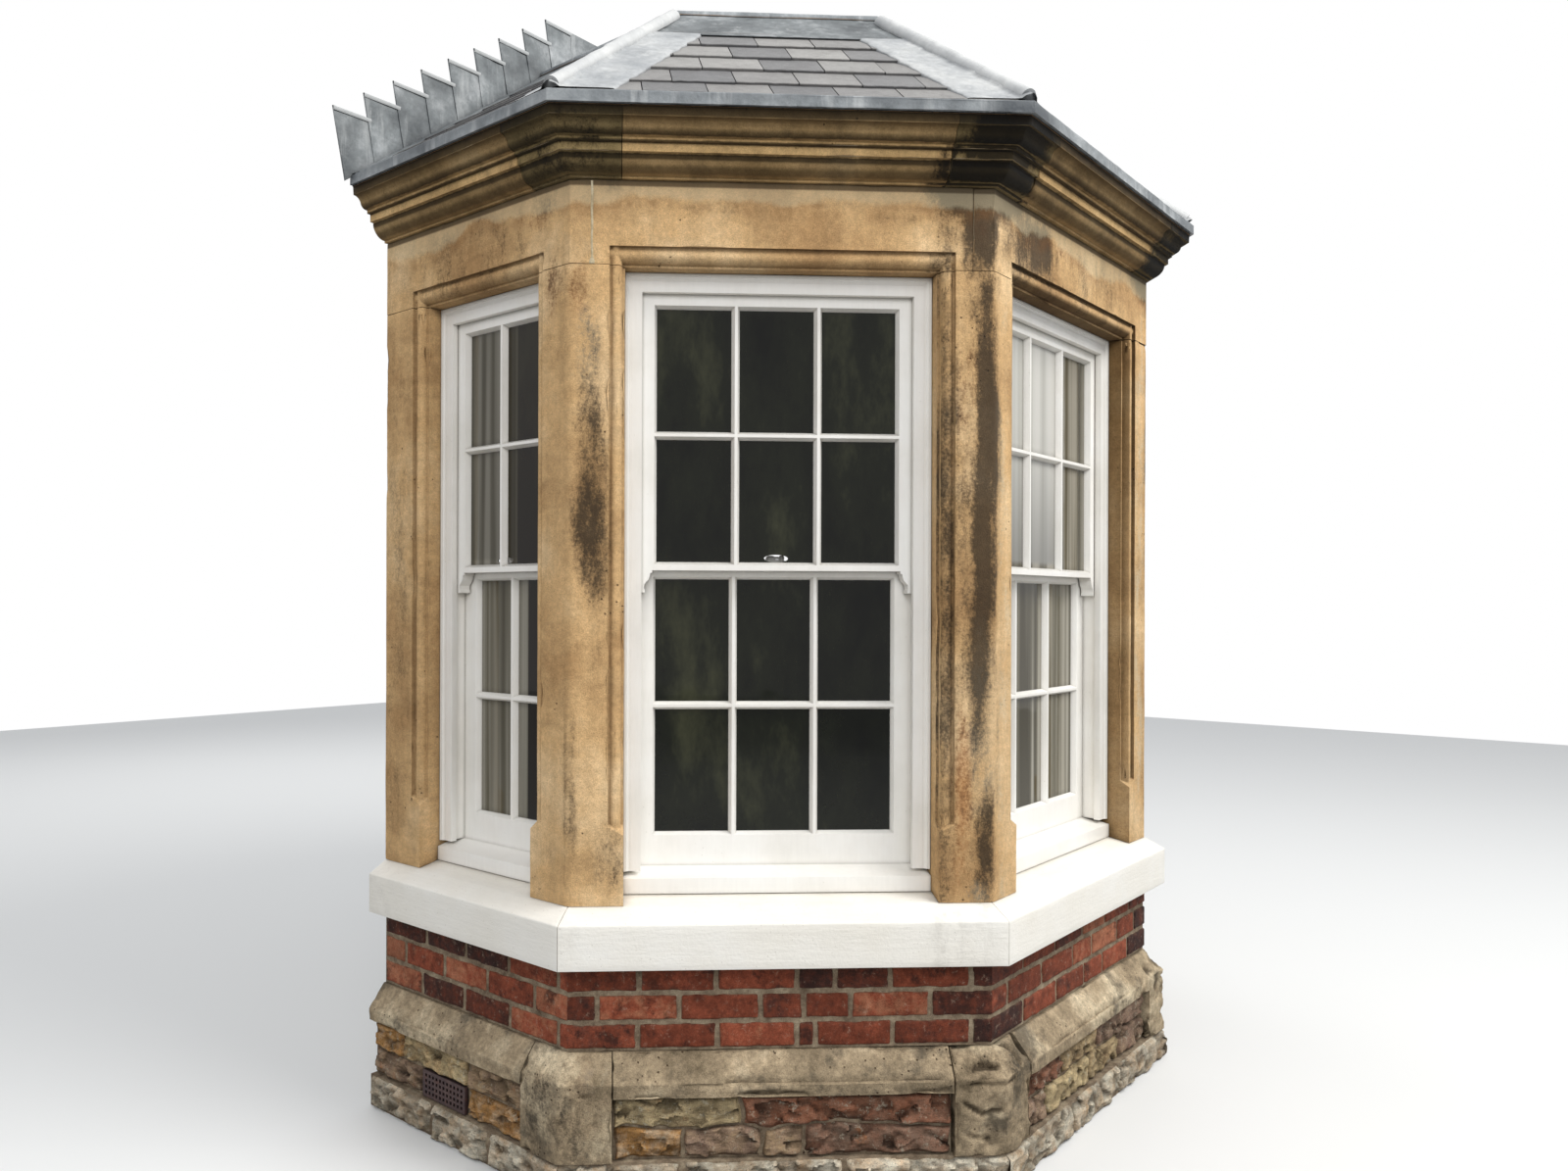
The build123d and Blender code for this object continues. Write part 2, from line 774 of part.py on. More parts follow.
# Flat lead top with a rolled nosing and two rolls that divide its sheets
flat_outline = [hip_head(corner) for corner in range(6)]
nosing_height = ROOF_TOP + FLAT_RAISE - LEAD
with BuildPart() as flat:
    with BuildSketch(Plane.XY.offset(ROOF_TOP - FLAT_THICKNESS)):
        Polygon(*plan(flat_outline), align=None)
    extrude(amount=FLAT_THICKNESS + FLAT_RAISE)
    with BuildLine() as edge:
        Polyline(*[hip_head(corner, NOSING / 2) + Vector(0, 0, nosing_height) for corner in range(6)])
    with BuildSketch(Plane(origin=edge.line @ 0, x_dir=outward(0), z_dir=(0, 1, 0))):
        Circle(NOSING)
    sweep(path=edge.line, transition=Transition.RIGHT)
    flat_front = wall_y - depth_out + ROOF_IN[2]
    for x in (-ROLL_SPACING / 2, ROLL_SPACING / 2):
        with BuildSketch(Plane(origin=(x, wall_y, ROOF_TOP + FLAT_RAISE), z_dir=(0, -1, 0))):
            Circle(NOSING)
        extrude(amount=wall_y - flat_front)
    for piece in aprons + slopes:
        add(piece.part, mode=Mode.SUBTRACT)
save(flat, "lead_flat_roof")


def slope_plane(face):
    """Plane of the slates: X along the eaves from the left hip, Y up the slope."""
    tilt = pitch(face)
    normal = outward(face) * sin(tilt) + Vector(0, 0, cos(tilt))
    return Plane(origin=hip_foot(face), x_dir=along(face), z_dir=normal)


def hip_wing(face, corner, way):
    """Lead sheet beside a hip, on the slope of one face."""
    foot = slope_plane(face).to_local_coords(hip_foot(corner))
    head = slope_plane(face).to_local_coords(hip_head(corner) + Vector(0, 0, ROOF_TOP))
    with BuildPart() as wing:
        with BuildSketch(slope_plane(face)):
            Polygon(
                (foot.X, foot.Y),
                (foot.X + way * HIP_WING, foot.Y),
                (head.X + way * HIP_WING, head.Y),
                (head.X, head.Y),
                align=None,
            )
        extrude(amount=LEAD)
    return wing


# Lead hips: a roll over a batten, with a wing dressed down on each slope
hips = []
for corner in range(1, 5):
    foot = hip_foot(corner)
    head = hip_head(corner) + Vector(0, 0, ROOF_TOP)
    with BuildPart() as hip:
        add(hip_wing(corner, corner, 1).part)
        add(hip_wing(corner - 1, corner, -1).part)
        with BuildSketch(Plane(origin=foot, z_dir=head - foot)):
            Circle(HIP_ROLL)
        extrude(amount=(head - foot).length)
        split(bisect_by=Plane.XY.offset(EAVES_TOP), keep=Keep.TOP)
        for face in (corner - 1, corner):
            split(bisect_by=elevation_plane(face, -SLATE_OUT), keep=Keep.BOTTOM)
        for piece in (slopes[corner - 1], slopes[corner], apron, flat, eaves):
            add(piece.part, mode=Mode.SUBTRACT)
    hips.append(hip)
save_all(hips, "lead_hips")


def soaker_section(face):
    """Lead lying on the slates beside the house wall."""
    return flat_section(
        [
            (SLATE_OUT, EAVES_TOP),
            (SLATE_OUT, EAVES_TOP + LEAD),
            (-ROOF_IN[face], ROOF_TOP + LEAD),
            (-ROOF_IN[face], ROOF_TOP),
        ]
    )


# Stepped lead flashings up the house wall, turned out over the slates of the end slopes
with BuildPart() as flashings:
    for side in (-1, 1):
        outline = [(STEP_FOOT, EAVES_TOP), (STEP_START, STEP_FIRST_TOP)]
        for step in range(1, STEPS):
            peak = STEP_START + step * STEP_RUN
            tread = STEP_FIRST_TOP + (step - 1) * STEP_RISE
            outline += [(peak + STEP_LEAN, tread), (peak, tread + STEP_RISE)]
        outline += [
            (half_width, STEP_FIRST_TOP + (STEPS - 1) * STEP_RISE),
            (half_width, ROOF_TOP + FLAT_RAISE),
            (ROOF_IN[0], ROOF_TOP + FLAT_RAISE),
            (ROOF_IN[0], ROOF_TOP),
            (-SLATE_OUT, EAVES_TOP),
        ]
        with BuildSketch(Plane.XZ.offset(-wall_y)):
            Polygon(*[(side * (half_width - x), z) for x, z in outline], align=None)
        extrude(amount=LEAD)
    add(square_run(0, 0, SOAKER, soaker_section(0)).part)
    add(square_run(4, RETURN - SOAKER, RETURN, soaker_section(4)).part)
    for piece in (apron, flat, eaves):
        add(piece.part, mode=Mode.SUBTRACT)
save(flashings, "stepped_flashings")

# Plaster ceiling inside, level with the lintels
with BuildPart() as ceiling:
    with BuildSketch(Plane.XY.offset(CEILING_BOTTOM)):
        Polygon(*plan(ring(-WALL_DEPTH)), align=None)
    extrude(amount=CEILING_THICKNESS)
save(ceiling, "ceiling")
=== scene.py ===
import functools
import itertools
import json
import math

import bmesh
import bpy
import numpy as np
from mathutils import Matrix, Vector


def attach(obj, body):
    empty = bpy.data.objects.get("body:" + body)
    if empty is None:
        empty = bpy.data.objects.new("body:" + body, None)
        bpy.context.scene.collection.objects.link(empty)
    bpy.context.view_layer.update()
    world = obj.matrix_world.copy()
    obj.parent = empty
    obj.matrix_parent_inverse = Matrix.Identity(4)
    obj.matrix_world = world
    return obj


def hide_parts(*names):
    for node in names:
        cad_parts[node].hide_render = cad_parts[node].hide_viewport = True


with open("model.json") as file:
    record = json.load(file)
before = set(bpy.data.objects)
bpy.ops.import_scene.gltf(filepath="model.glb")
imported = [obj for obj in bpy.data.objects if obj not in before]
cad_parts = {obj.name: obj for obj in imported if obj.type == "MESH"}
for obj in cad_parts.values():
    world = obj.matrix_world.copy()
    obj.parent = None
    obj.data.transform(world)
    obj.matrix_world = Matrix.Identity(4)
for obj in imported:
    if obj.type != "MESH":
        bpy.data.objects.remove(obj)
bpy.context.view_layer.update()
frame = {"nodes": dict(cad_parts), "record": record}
nodes = frame["nodes"]
scene = bpy.context.scene

# ---------------------------------------------------------------- plan of the bay, in metres
RETURN, CANT, FRONT = 0.903, 1.250, 1.284
HALF = FRONT / 2 + CANT * math.sqrt(0.5)
DEPTH = RETURN + CANT * math.sqrt(0.5)
WALL_Y = (DEPTH + 0.150) / 2
CORNERS = [
    (-HALF, WALL_Y),
    (-HALF, WALL_Y - RETURN),
    (-FRONT / 2, WALL_Y - DEPTH),
    (FRONT / 2, WALL_Y - DEPTH),
    (HALF, WALL_Y - RETURN),
    (HALF, WALL_Y),
]
FACES = ["left_return", "left_cant", "front", "right_cant", "right_return"]
TURN = math.tan(math.radians(22.5))
# The room's plaster begins this far behind the faces and ends at the ceiling
PLASTER_LINE, CEILING = -0.235, 2.75
CORNICE_BACK, CORNICE_TOP = -0.02, 3.08
FAR = 9.0


class Face:
    """One face of the bay: u runs along it to the right, w outwards, z up."""

    def __init__(self, index):
        self.index, self.name = index, FACES[index]
        self.start = np.array(CORNERS[index])
        run = np.array(CORNERS[index + 1]) - self.start
        self.length = float(np.hypot(*run))
        self.along = run / self.length
        self.out = np.array([self.along[1], -self.along[0]])

    def point(self, u, w, z):
        x, y = self.start + self.along * u + self.out * w
        return Vector((x, y, z))

    def points(self, uwz):
        uwz = np.asarray(uwz, float)
        xy = self.start + uwz[:, :1] * self.along + uwz[:, 1:2] * self.out
        return np.column_stack([xy, uwz[:, 2]])

    def local(self, points):
        """Places along the face and up it."""
        return np.column_stack([(points[:, :2] - self.start) @ self.along, points[:, 2]])

    def facing(self, normals, least):
        """1 where a surface looks the way the face does, and 0 where it looks elsewhere."""
        return np.clip((normals[:, :2] @ self.out - least) / 0.3, 0, 1)


faces = [Face(i) for i in range(5)]


def outward(points):
    """How far points stand out from the faces of the bay, and which face is the nearest."""
    reach = [(points[:, :2] - face.start) @ face.out for face in faces]
    return np.max(reach, axis=0), np.argmax(reach, axis=0)


# ---------------------------------------------------------------- noise
def lattice(cell, seed):
    n = cell[..., 0] * 374761393 + cell[..., 1] * 668265263 + cell[..., 2] * 2246822519 + seed * 3266489917
    n = n & 0xFFFFFFFF
    n = ((n ^ (n >> 13)) * 1274126177) & 0xFFFFFFFF
    return (n ^ (n >> 16)) / 0xFFFFFFFF


def noise(points, size, seed=0):
    """Smooth noise from -1 to 1 with features of that size."""
    p = np.asarray(points, float) / size
    cell = np.floor(p).astype(np.int64)
    f = p - cell
    f = f * f * (3 - 2 * f)
    total = np.zeros(len(p))
    for dx in (0, 1):
        for dy in (0, 1):
            for dz in (0, 1):
                weight = np.abs(1 - dx - f[:, 0]) * np.abs(1 - dy - f[:, 1]) * np.abs(1 - dz - f[:, 2])
                total += weight * lattice(cell + (dx, dy, dz), seed)
    return total * 2 - 1


def fbm(points, size, seed=0, octaves=4):
    """Noise with finer noise over it."""
    total = np.zeros(len(points))
    gain = 1.0
    for octave in range(octaves):
        total += gain * noise(points, size / 2**octave, seed + octave * 17)
        gain *= 0.5
    return total / 1.6


# ---------------------------------------------------------------- meshes
def add_piece(name, mesh, material, sharp=35, replaces=()):
    """A finished piece: smooth faces with sharp edges where they turn, riding on the bay."""
    mesh.shade_smooth()
    mesh.set_sharp_from_angle(angle=math.radians(sharp))
    piece = bpy.data.objects.new(name, mesh)
    scene.collection.objects.link(piece)
    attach(piece, "root")
    if replaces:
        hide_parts(*replaces)
    mesh.materials.append(materials[material])
    return piece


def mesh_from(bm, name):
    mesh = bpy.data.meshes.new(name)
    bm.to_mesh(mesh)
    bm.free()
    return mesh


def clean_copy(name):
    """The solid of a node with its flat faces whole again."""
    bm = bmesh.new()
    bm.from_mesh(nodes[name].data)
    bmesh.ops.remove_doubles(bm, verts=bm.verts, dist=2e-5)
    bmesh.ops.dissolve_limit(bm, angle_limit=math.radians(0.6), verts=bm.verts, edges=bm.edges)
    return bm


def true_faced(points):
    """Where a stone keeps its true face: in the room, behind the cornice and under the roof."""
    points = np.array(points)
    reach = outward(points)[0]
    low = points[:, 2] < CEILING + 0.001
    return np.where(low, reach < PLASTER_LINE, (reach < CORNICE_BACK) | (points[:, 2] > CORNICE_TOP))


def bevel_sharp(bm, width, angle=28, keep=False):
    """Rounds the edges that turn by more than the angle. With keep, true faces keep theirs."""
    sharp = [e for e in bm.edges if len(e.link_faces) == 2 and e.calc_face_angle() > math.radians(angle)]
    if keep:
        sharp = [e for e in sharp if not true_faced([v.co for v in e.verts]).any()]
    bmesh.ops.bevel(bm, geom=sharp, offset=width, segments=2, affect="EDGES", clamp_overlap=True, profile=0.6)


def slice_up(bm, direction, spacing):
    """Cuts the faces into strips, so that they can be worn and dented."""
    direction = Vector(direction).normalized()
    reach = [v.co.dot(direction) for v in bm.verts]
    low, high = min(reach), max(reach)
    count = int((high - low) / spacing)
    for i in range(1, count + 1):
        place = low + (high - low) * i / (count + 1)
        geom = bm.verts[:] + bm.edges[:] + bm.faces[:]
        bmesh.ops.bisect_plane(bm, geom=geom, plane_co=direction * place, plane_no=direction, dist=1e-5)


def distance_to(points, segments):
    """How far points are from the nearest of the segments."""
    best = np.full(len(points), FAR)
    for a, b in segments:
        run = b - a
        t = np.clip(((points - a) @ run) / max(run @ run, 1e-12), 0, 1)
        best = np.minimum(best, np.linalg.norm(points - a - t[:, None] * run, axis=1))
    return best


def boards_under(mesh):
    """Timber boards on the faces of the roof that look down into it."""
    down = [polygon.normal.z < -0.3 for polygon in mesh.polygons]
    mesh.materials.append(materials["timber"])
    mesh.polygons.foreach_set("material_index", np.array(down, dtype=np.int32))


def inner_faces(mesh):
    """Plaster on the faces that look into the room, and unwashed stone on those above its ceiling."""
    centres = np.array([polygon.center for polygon in mesh.polygons])
    normals = np.array([polygon.normal for polygon in mesh.polygons])
    reach, nearest = outward(centres)
    room = (reach < PLASTER_LINE) & (centres[:, 2] < CEILING)
    outs = np.array([face.out for face in faces])[nearest]
    behind = (centres[:, 2] > CEILING) & ((normals[:, :2] * outs).sum(1) < -0.5)
    mesh.materials.append(materials["plaster"])
    mesh.materials.append(materials["inner_stone"])
    mesh.polygons.foreach_set("material_index", (room + 2 * behind).astype(np.int32))


SOOT, PALE, RUST = 0, 1, 2
LEFT_RETURN, LEFT_CANT, FRONT_FACE = 0, 1, 2
# Stains by kind and face: place along and up it, half width, half height and strength
STAINS = {
    (SOOT, LEFT_CANT): [
        (0.06, 2.4, 0.04, 0.24, 0.36), (0.058, 2.12, 0.042, 0.24, 0.75), (0.062, 1.98, 0.046, 0.19, 1.1),
        (0.085, 1.8, 0.035, 0.16, 0.6), (0.08, 1.55, 0.022, 0.18, 0.3), (0.12, 0.96, 0.05, 0.1, 0.45),
        (0.012, 1.15, 0.016, 0.3, 0.4), (0.03, 2.62, 0.035, 0.06, 0.4), (1.226, 2.24, 0.03, 0.46, 1.3),
        (1.218, 1.88, 0.032, 0.36, 1.35), (1.208, 1.55, 0.034, 0.34, 1.1), (1.17, 1.8, 0.1, 0.95, 0.34),
        (1.1, 1.7, 0.05, 1.3, 0.62), (1.12, 1.2, 0.02, 0.3, 0.45), (1.224, 0.99, 0.034, 0.16, 0.95),
        (1.18, 0.9, 0.04, 0.08, 0.4), (1.205, 2.58, 0.04, 0.09, 0.6), (1.206, 2.82, 0.05, 0.15, 1.25),
        (1.19, 0.85, 0.02, 0.03, 0.6), (1.19, 1.75, 0.06, 1.0, 0.42), (0.04, 0.24, 0.13, 0.16, 0.45),
        (0.3, 2.845, 0.1, 0.022, 0.32), (0.45, 2.85, 0.06, 0.03, 0.32), (1.0, 2.835, 0.12, 0.02, 0.36),
        (1.27, 2.99, 0.1, 0.12, 2.4), (-0.02, 2.99, 0.15, 0.1, 0.55), (0.45, 3.112, 0.12, 0.014, 0.35),
        (0.95, 3.112, 0.15, 0.014, 0.45), (1.2, 0.34, 0.08, 0.06, 0.45), (0.02, 0.74, 0.03, 0.05, 0.25),
        (1.23, 0.74, 0.03, 0.05, 0.25),
    ],
    (PALE, LEFT_CANT): [
        (0.055, 2.45, 0.04, 0.16, 0.3), (1.212, 1.36, 0.034, 0.26, 0.55), (1.205, 0.85, 0.04, 0.04, 0.5),
        (0.08, 0.345, 0.06, 0.05, 0.4),
    ],
    (RUST, LEFT_CANT): [
        (0.03, 2.62, 0.045, 0.09, 0.4), (1.18, 2.3, 0.05, 0.3, 0.3), (1.16, 1.18, 0.03, 0.24, 0.72),
        (1.15, 0.92, 0.03, 0.08, 0.5), (1.205, 2.84, 0.03, 0.1, 0.6), (0.06, 0.35, 0.06, 0.06, 0.34),
    ],
    (SOOT, LEFT_RETURN): [
        (0.84, 2.63, 0.05, 0.09, 0.5), (0.89, 1.2, 0.01, 0.3, 0.5), (0.45, 2.8, 0.45, 0.13, 0.34),
        (0.06, 1.7, 0.13, 1.2, 0.24), (0.86, 0.24, 0.1, 0.16, 0.45), (0.8, 2.87, 0.07, 0.05, 0.5),
        (0.94, 2.99, 0.12, 0.1, 0.55), (0.45, 3.112, 0.6, 0.014, 0.5),
    ],
    (RUST, LEFT_RETURN): [(0.83, 2.62, 0.06, 0.1, 0.5), (0.76, 2.85, 0.1, 0.06, 0.35)],
    (SOOT, FRONT_FACE): [
        (0.028, 2.3, 0.03, 0.45, 0.45), (0.006, 2.05, 0.022, 0.55, 1.0), (0.03, 1.3, 0.02, 0.3, 0.35),
        (0.3, 2.81, 0.15, 0.09, 1.05), (0.18, 2.8, 0.15, 0.1, 0.6), (0.43, 2.75, 0.09, 0.05, 0.55),
        (0.64, 2.8, 0.7, 0.16, 0.3), (-0.02, 2.99, 0.11, 0.12, 2.4), (1.3, 2.99, 0.15, 0.1, 1.3),
        (0.06, 0.34, 0.1, 0.06, 0.4),
    ],
    (PALE, FRONT_FACE): [(1.215, 1.9, 0.06, 1.2, 0.42), (0.06, 1.6, 0.05, 1.2, 0.35)],
    (RUST, FRONT_FACE): [(0.48, 2.85, 0.22, 0.03, 0.4), (0.15, 2.88, 0.12, 0.03, 0.45)],
}
FAINTER = 0.8


def write_stains(mesh):
    """Writes the stains as a colour at each point. The right half mirrors the left, a little fainter."""
    points = np.array([vert.co for vert in mesh.vertices])
    normals = np.array([vert.normal for vert in mesh.vertices])
    colors = np.zeros((len(points), 4))
    colors[:, 3] = 1.0
    for (kind, index), spots in STAINS.items():
        for u, z, wide, high, strength in spots:
            places = [(faces[index], u, strength)]
            if index < FRONT_FACE:
                places.append((faces[4 - index], faces[index].length - u, strength * FAINTER))
            for face, along, much in places:
                us, zs = face.local(points).T
                far = np.hypot((us - along) / wide, (zs - z) / high)
                spot = much * face.facing(normals, 0.1) * np.clip((1.6 - far) / 1.2, 0, 1)
                colors[:, kind] = np.maximum(colors[:, kind], spot)
    layer = mesh.color_attributes.new("stain", "FLOAT_COLOR", "POINT")
    layer.data.foreach_set("color", colors.ravel())


def push_in(bm, arrises, rough, size, chip, reach, seed, often, extra, keep):
    """Pushes the surface in: a little everywhere, and more in chips along the arrises."""
    bm.normal_update()
    points = np.array([v.co for v in bm.verts])
    normals = np.array([v.normal for v in bm.verts])
    depth = rough * (0.5 + 0.5 * fbm(points, size, seed))
    if chip and arrises:
        near = distance_to(points, arrises)
        bite = np.clip(fbm(points, 0.11, seed + 5) * 1.7 - often, 0, 1)
        depth += chip * bite * np.clip(1 - near / reach, 0, 1) ** 1.5
    crack = extra(points, normals) if extra else np.zeros(len(points))
    depth = np.maximum(depth + crack, 0)
    if keep:
        depth[true_faced(points)] = 0
    moved = points - normals * depth[:, None]
    moved[:, 1] = np.minimum(moved[:, 1], WALL_Y)
    for vert, place in zip(bm.verts, moved):
        vert.co = place
    return crack


def worn_copy(name, slot, wear, seed, along=(1, 0), reach=0.03, often=0.35, material=None, extra=None):
    """A worn copy that stands for its node, with chips that reach that far from its arrises."""
    bevel, steps, rough, size, chip = wear
    is_stone = slot != "lead"
    bm = clean_copy(name)
    arrises = [
        (np.array(edge.verts[0].co), np.array(edge.verts[1].co))
        for edge in bm.edges
        if len(edge.link_faces) == 2 and edge.is_convex and edge.calc_face_angle() > math.radians(40)
    ]
    bevel_sharp(bm, bevel, keep=is_stone)
    along = Vector((*along, 0)).normalized()
    for direction, spacing in zip(((0, 0, 1), along, (along.y, -along.x, 0)), steps):
        if spacing:
            slice_up(bm, direction, spacing * (1))
    bmesh.ops.triangulate(bm, faces=[f for f in bm.faces if len(f.verts) > 4])
    crack = push_in(bm, arrises, rough, size, chip, reach, seed, often, extra, is_stone)
    mesh = mesh_from(bm, name + "_worn")
    write_stains(mesh)
    if extra and is_stone:
        layer = mesh.attributes.new("crack", "FLOAT", "POINT")
        layer.data.foreach_set("value", np.clip(crack / 0.010 - 0.55, 0, 0.8))
    piece = add_piece(name + "_worn", mesh, material or slot, replaces=[name])
    if is_stone:
        inner_faces(mesh)
    return piece


# ---------------------------------------------------------------- node trees
class Value:
    """What a node puts out, for use in sums."""

    def __init__(self, tree, socket):
        self.tree, self.socket = tree, socket

    def __add__(self, other):
        return self.tree.math("ADD", self, other)

    def __sub__(self, other):
        return self.tree.math("SUBTRACT", self, other)

    def __rsub__(self, other):
        return self.tree.math("SUBTRACT", other, self)

    def __mul__(self, other):
        return self.tree.math("MULTIPLY", self, other)

    def __abs__(self):
        return self.tree.math("ABSOLUTE", self, 0.0)

    def larger(self, other):
        return self.tree.math("MAXIMUM", self, other)


class Tree:
    """The node tree of a material or a world, filled by short calls."""

    def __init__(self, owner):
        owner.use_nodes = True
        self.owner, self.tree = owner, owner.node_tree
        self.tree.nodes.clear()

    def node(self, kind, inputs=(), **settings):
        """A new node. Its inputs are numbers, colours or the values of other nodes."""
        node = self.tree.nodes.new("ShaderNode" + kind)
        for key, value in settings.items():
            setattr(node, key, value)
        for key, value in dict(inputs).items():
            socket = node.inputs[key]
            if isinstance(value, Value):
                self.tree.links.new(value.socket, socket)
            else:
                socket.default_value = (*value, 1) if socket.type == "RGBA" else value
        return node

    def value(self, out, kind, inputs=(), **settings):
        """What a new node puts out."""
        return Value(self, self.node(kind, inputs, **settings).outputs[out])

    def values(self, kind, inputs):
        return [Value(self, output) for output in self.node(kind, inputs).outputs[:3]]

    def math(self, operation, a, b, clamp=False):
        return self.value(0, "Math", {0: a, 1: b}, operation=operation, use_clamp=clamp)

    def mix(self, factor, a, b, blend="MIX"):
        return self.value(2, "Mix", {0: factor, 6: a, 7: b}, data_type="RGBA", blend_type=blend)

    def straight_rays(self):
        """1 for what the camera sees, directly or in a gloss, and 0 for the light on the bay."""
        rays = [self.value(name, "LightPath") for name in ("Is Camera Ray", "Is Transmission Ray", "Is Glossy Ray")]
        return rays[0].larger(rays[1]).larger(rays[2])


# ---------------------------------------------------------------- camera, light and floor
def placed(name, data, place=(0, 0, 0)):
    """An object of the scene at a place."""
    thing = bpy.data.objects.new(name, data)
    thing.location = place
    scene.collection.objects.link(thing)
    return thing


camera = placed("camera", bpy.data.cameras.new("camera"), (-3.788, -2.314, 1.700))
camera.rotation_euler = (math.radians(90), math.radians(-0.19), math.radians(42.04 - 90))
camera.data.sensor_width, camera.data.lens = 36.0, 26.02
camera.data.shift_x, camera.data.shift_y = 0.0819, 0.0114
camera.data.clip_end = 200
scene.camera = camera

studio = Tree(bpy.data.worlds.new("studio"))
scene.world = studio.owner
soft = studio.value(0, "Background", {"Color": (0.93, 0.96, 1.0), "Strength": 0.57})
white = studio.value(0, "Background", {"Color": (1, 1, 1)})
both = studio.value(0, "MixShader", {0: studio.straight_rays(), 1: soft, 2: white})
studio.node("OutputWorld", {"Surface": both})


def area_light(name, place, target, size, power, color=(1, 1, 1), shine=True):
    data = bpy.data.lights.new(name, "AREA")
    data.shape, data.size, data.energy, data.color = "DISK", size, power, color
    lamp = placed(name, data, place)
    lamp.rotation_euler = (Vector(target) - Vector(place)).to_track_quat("-Z", "Y").to_euler()
    lamp.visible_glossy = shine


area_light("key", (1.0, -6.5, 9.0), (0, 0, 1.9), 5.0, 700, (1.0, 0.99, 0.962))
area_light("fill", (-7.0, -5.0, 6.0), (0, 0, 1.8), 5.0, 270, shine=False)
area_light("back", (2.0, 9.0, 7.0), (0, 0, 1.8), 6.0, 160)

floor_mesh = bpy.data.meshes.new("floor")
floor_mesh.from_pydata([(-14, -14, 0), (14, -14, 0), (14, 14, 0), (-14, 14, 0)], [], [(0, 1, 2, 3)])
floor = placed("floor", floor_mesh)
tree = Tree(bpy.data.materials.new("floor"))
tone = tree.mix(tree.straight_rays(), (0.26, 0.26, 0.255), (0.86, 0.86, 0.85))
shader = tree.value(0, "BsdfPrincipled", {"Roughness": 0.9, "Base Color": tone})
tree.node("OutputMaterial", {"Surface": shader})
floor_mesh.materials.append(tree.owner)


# ---------------------------------------------------------------- materials
materials = {}


def srgb(shade):
    """A colour written as it looks on screen, from 0 to 255, turned linear."""
    return tuple(v / 12.92 if v <= 0.04045 else ((v + 0.055) / 1.055) ** 2.4 for v in (part / 255 for part in shade))


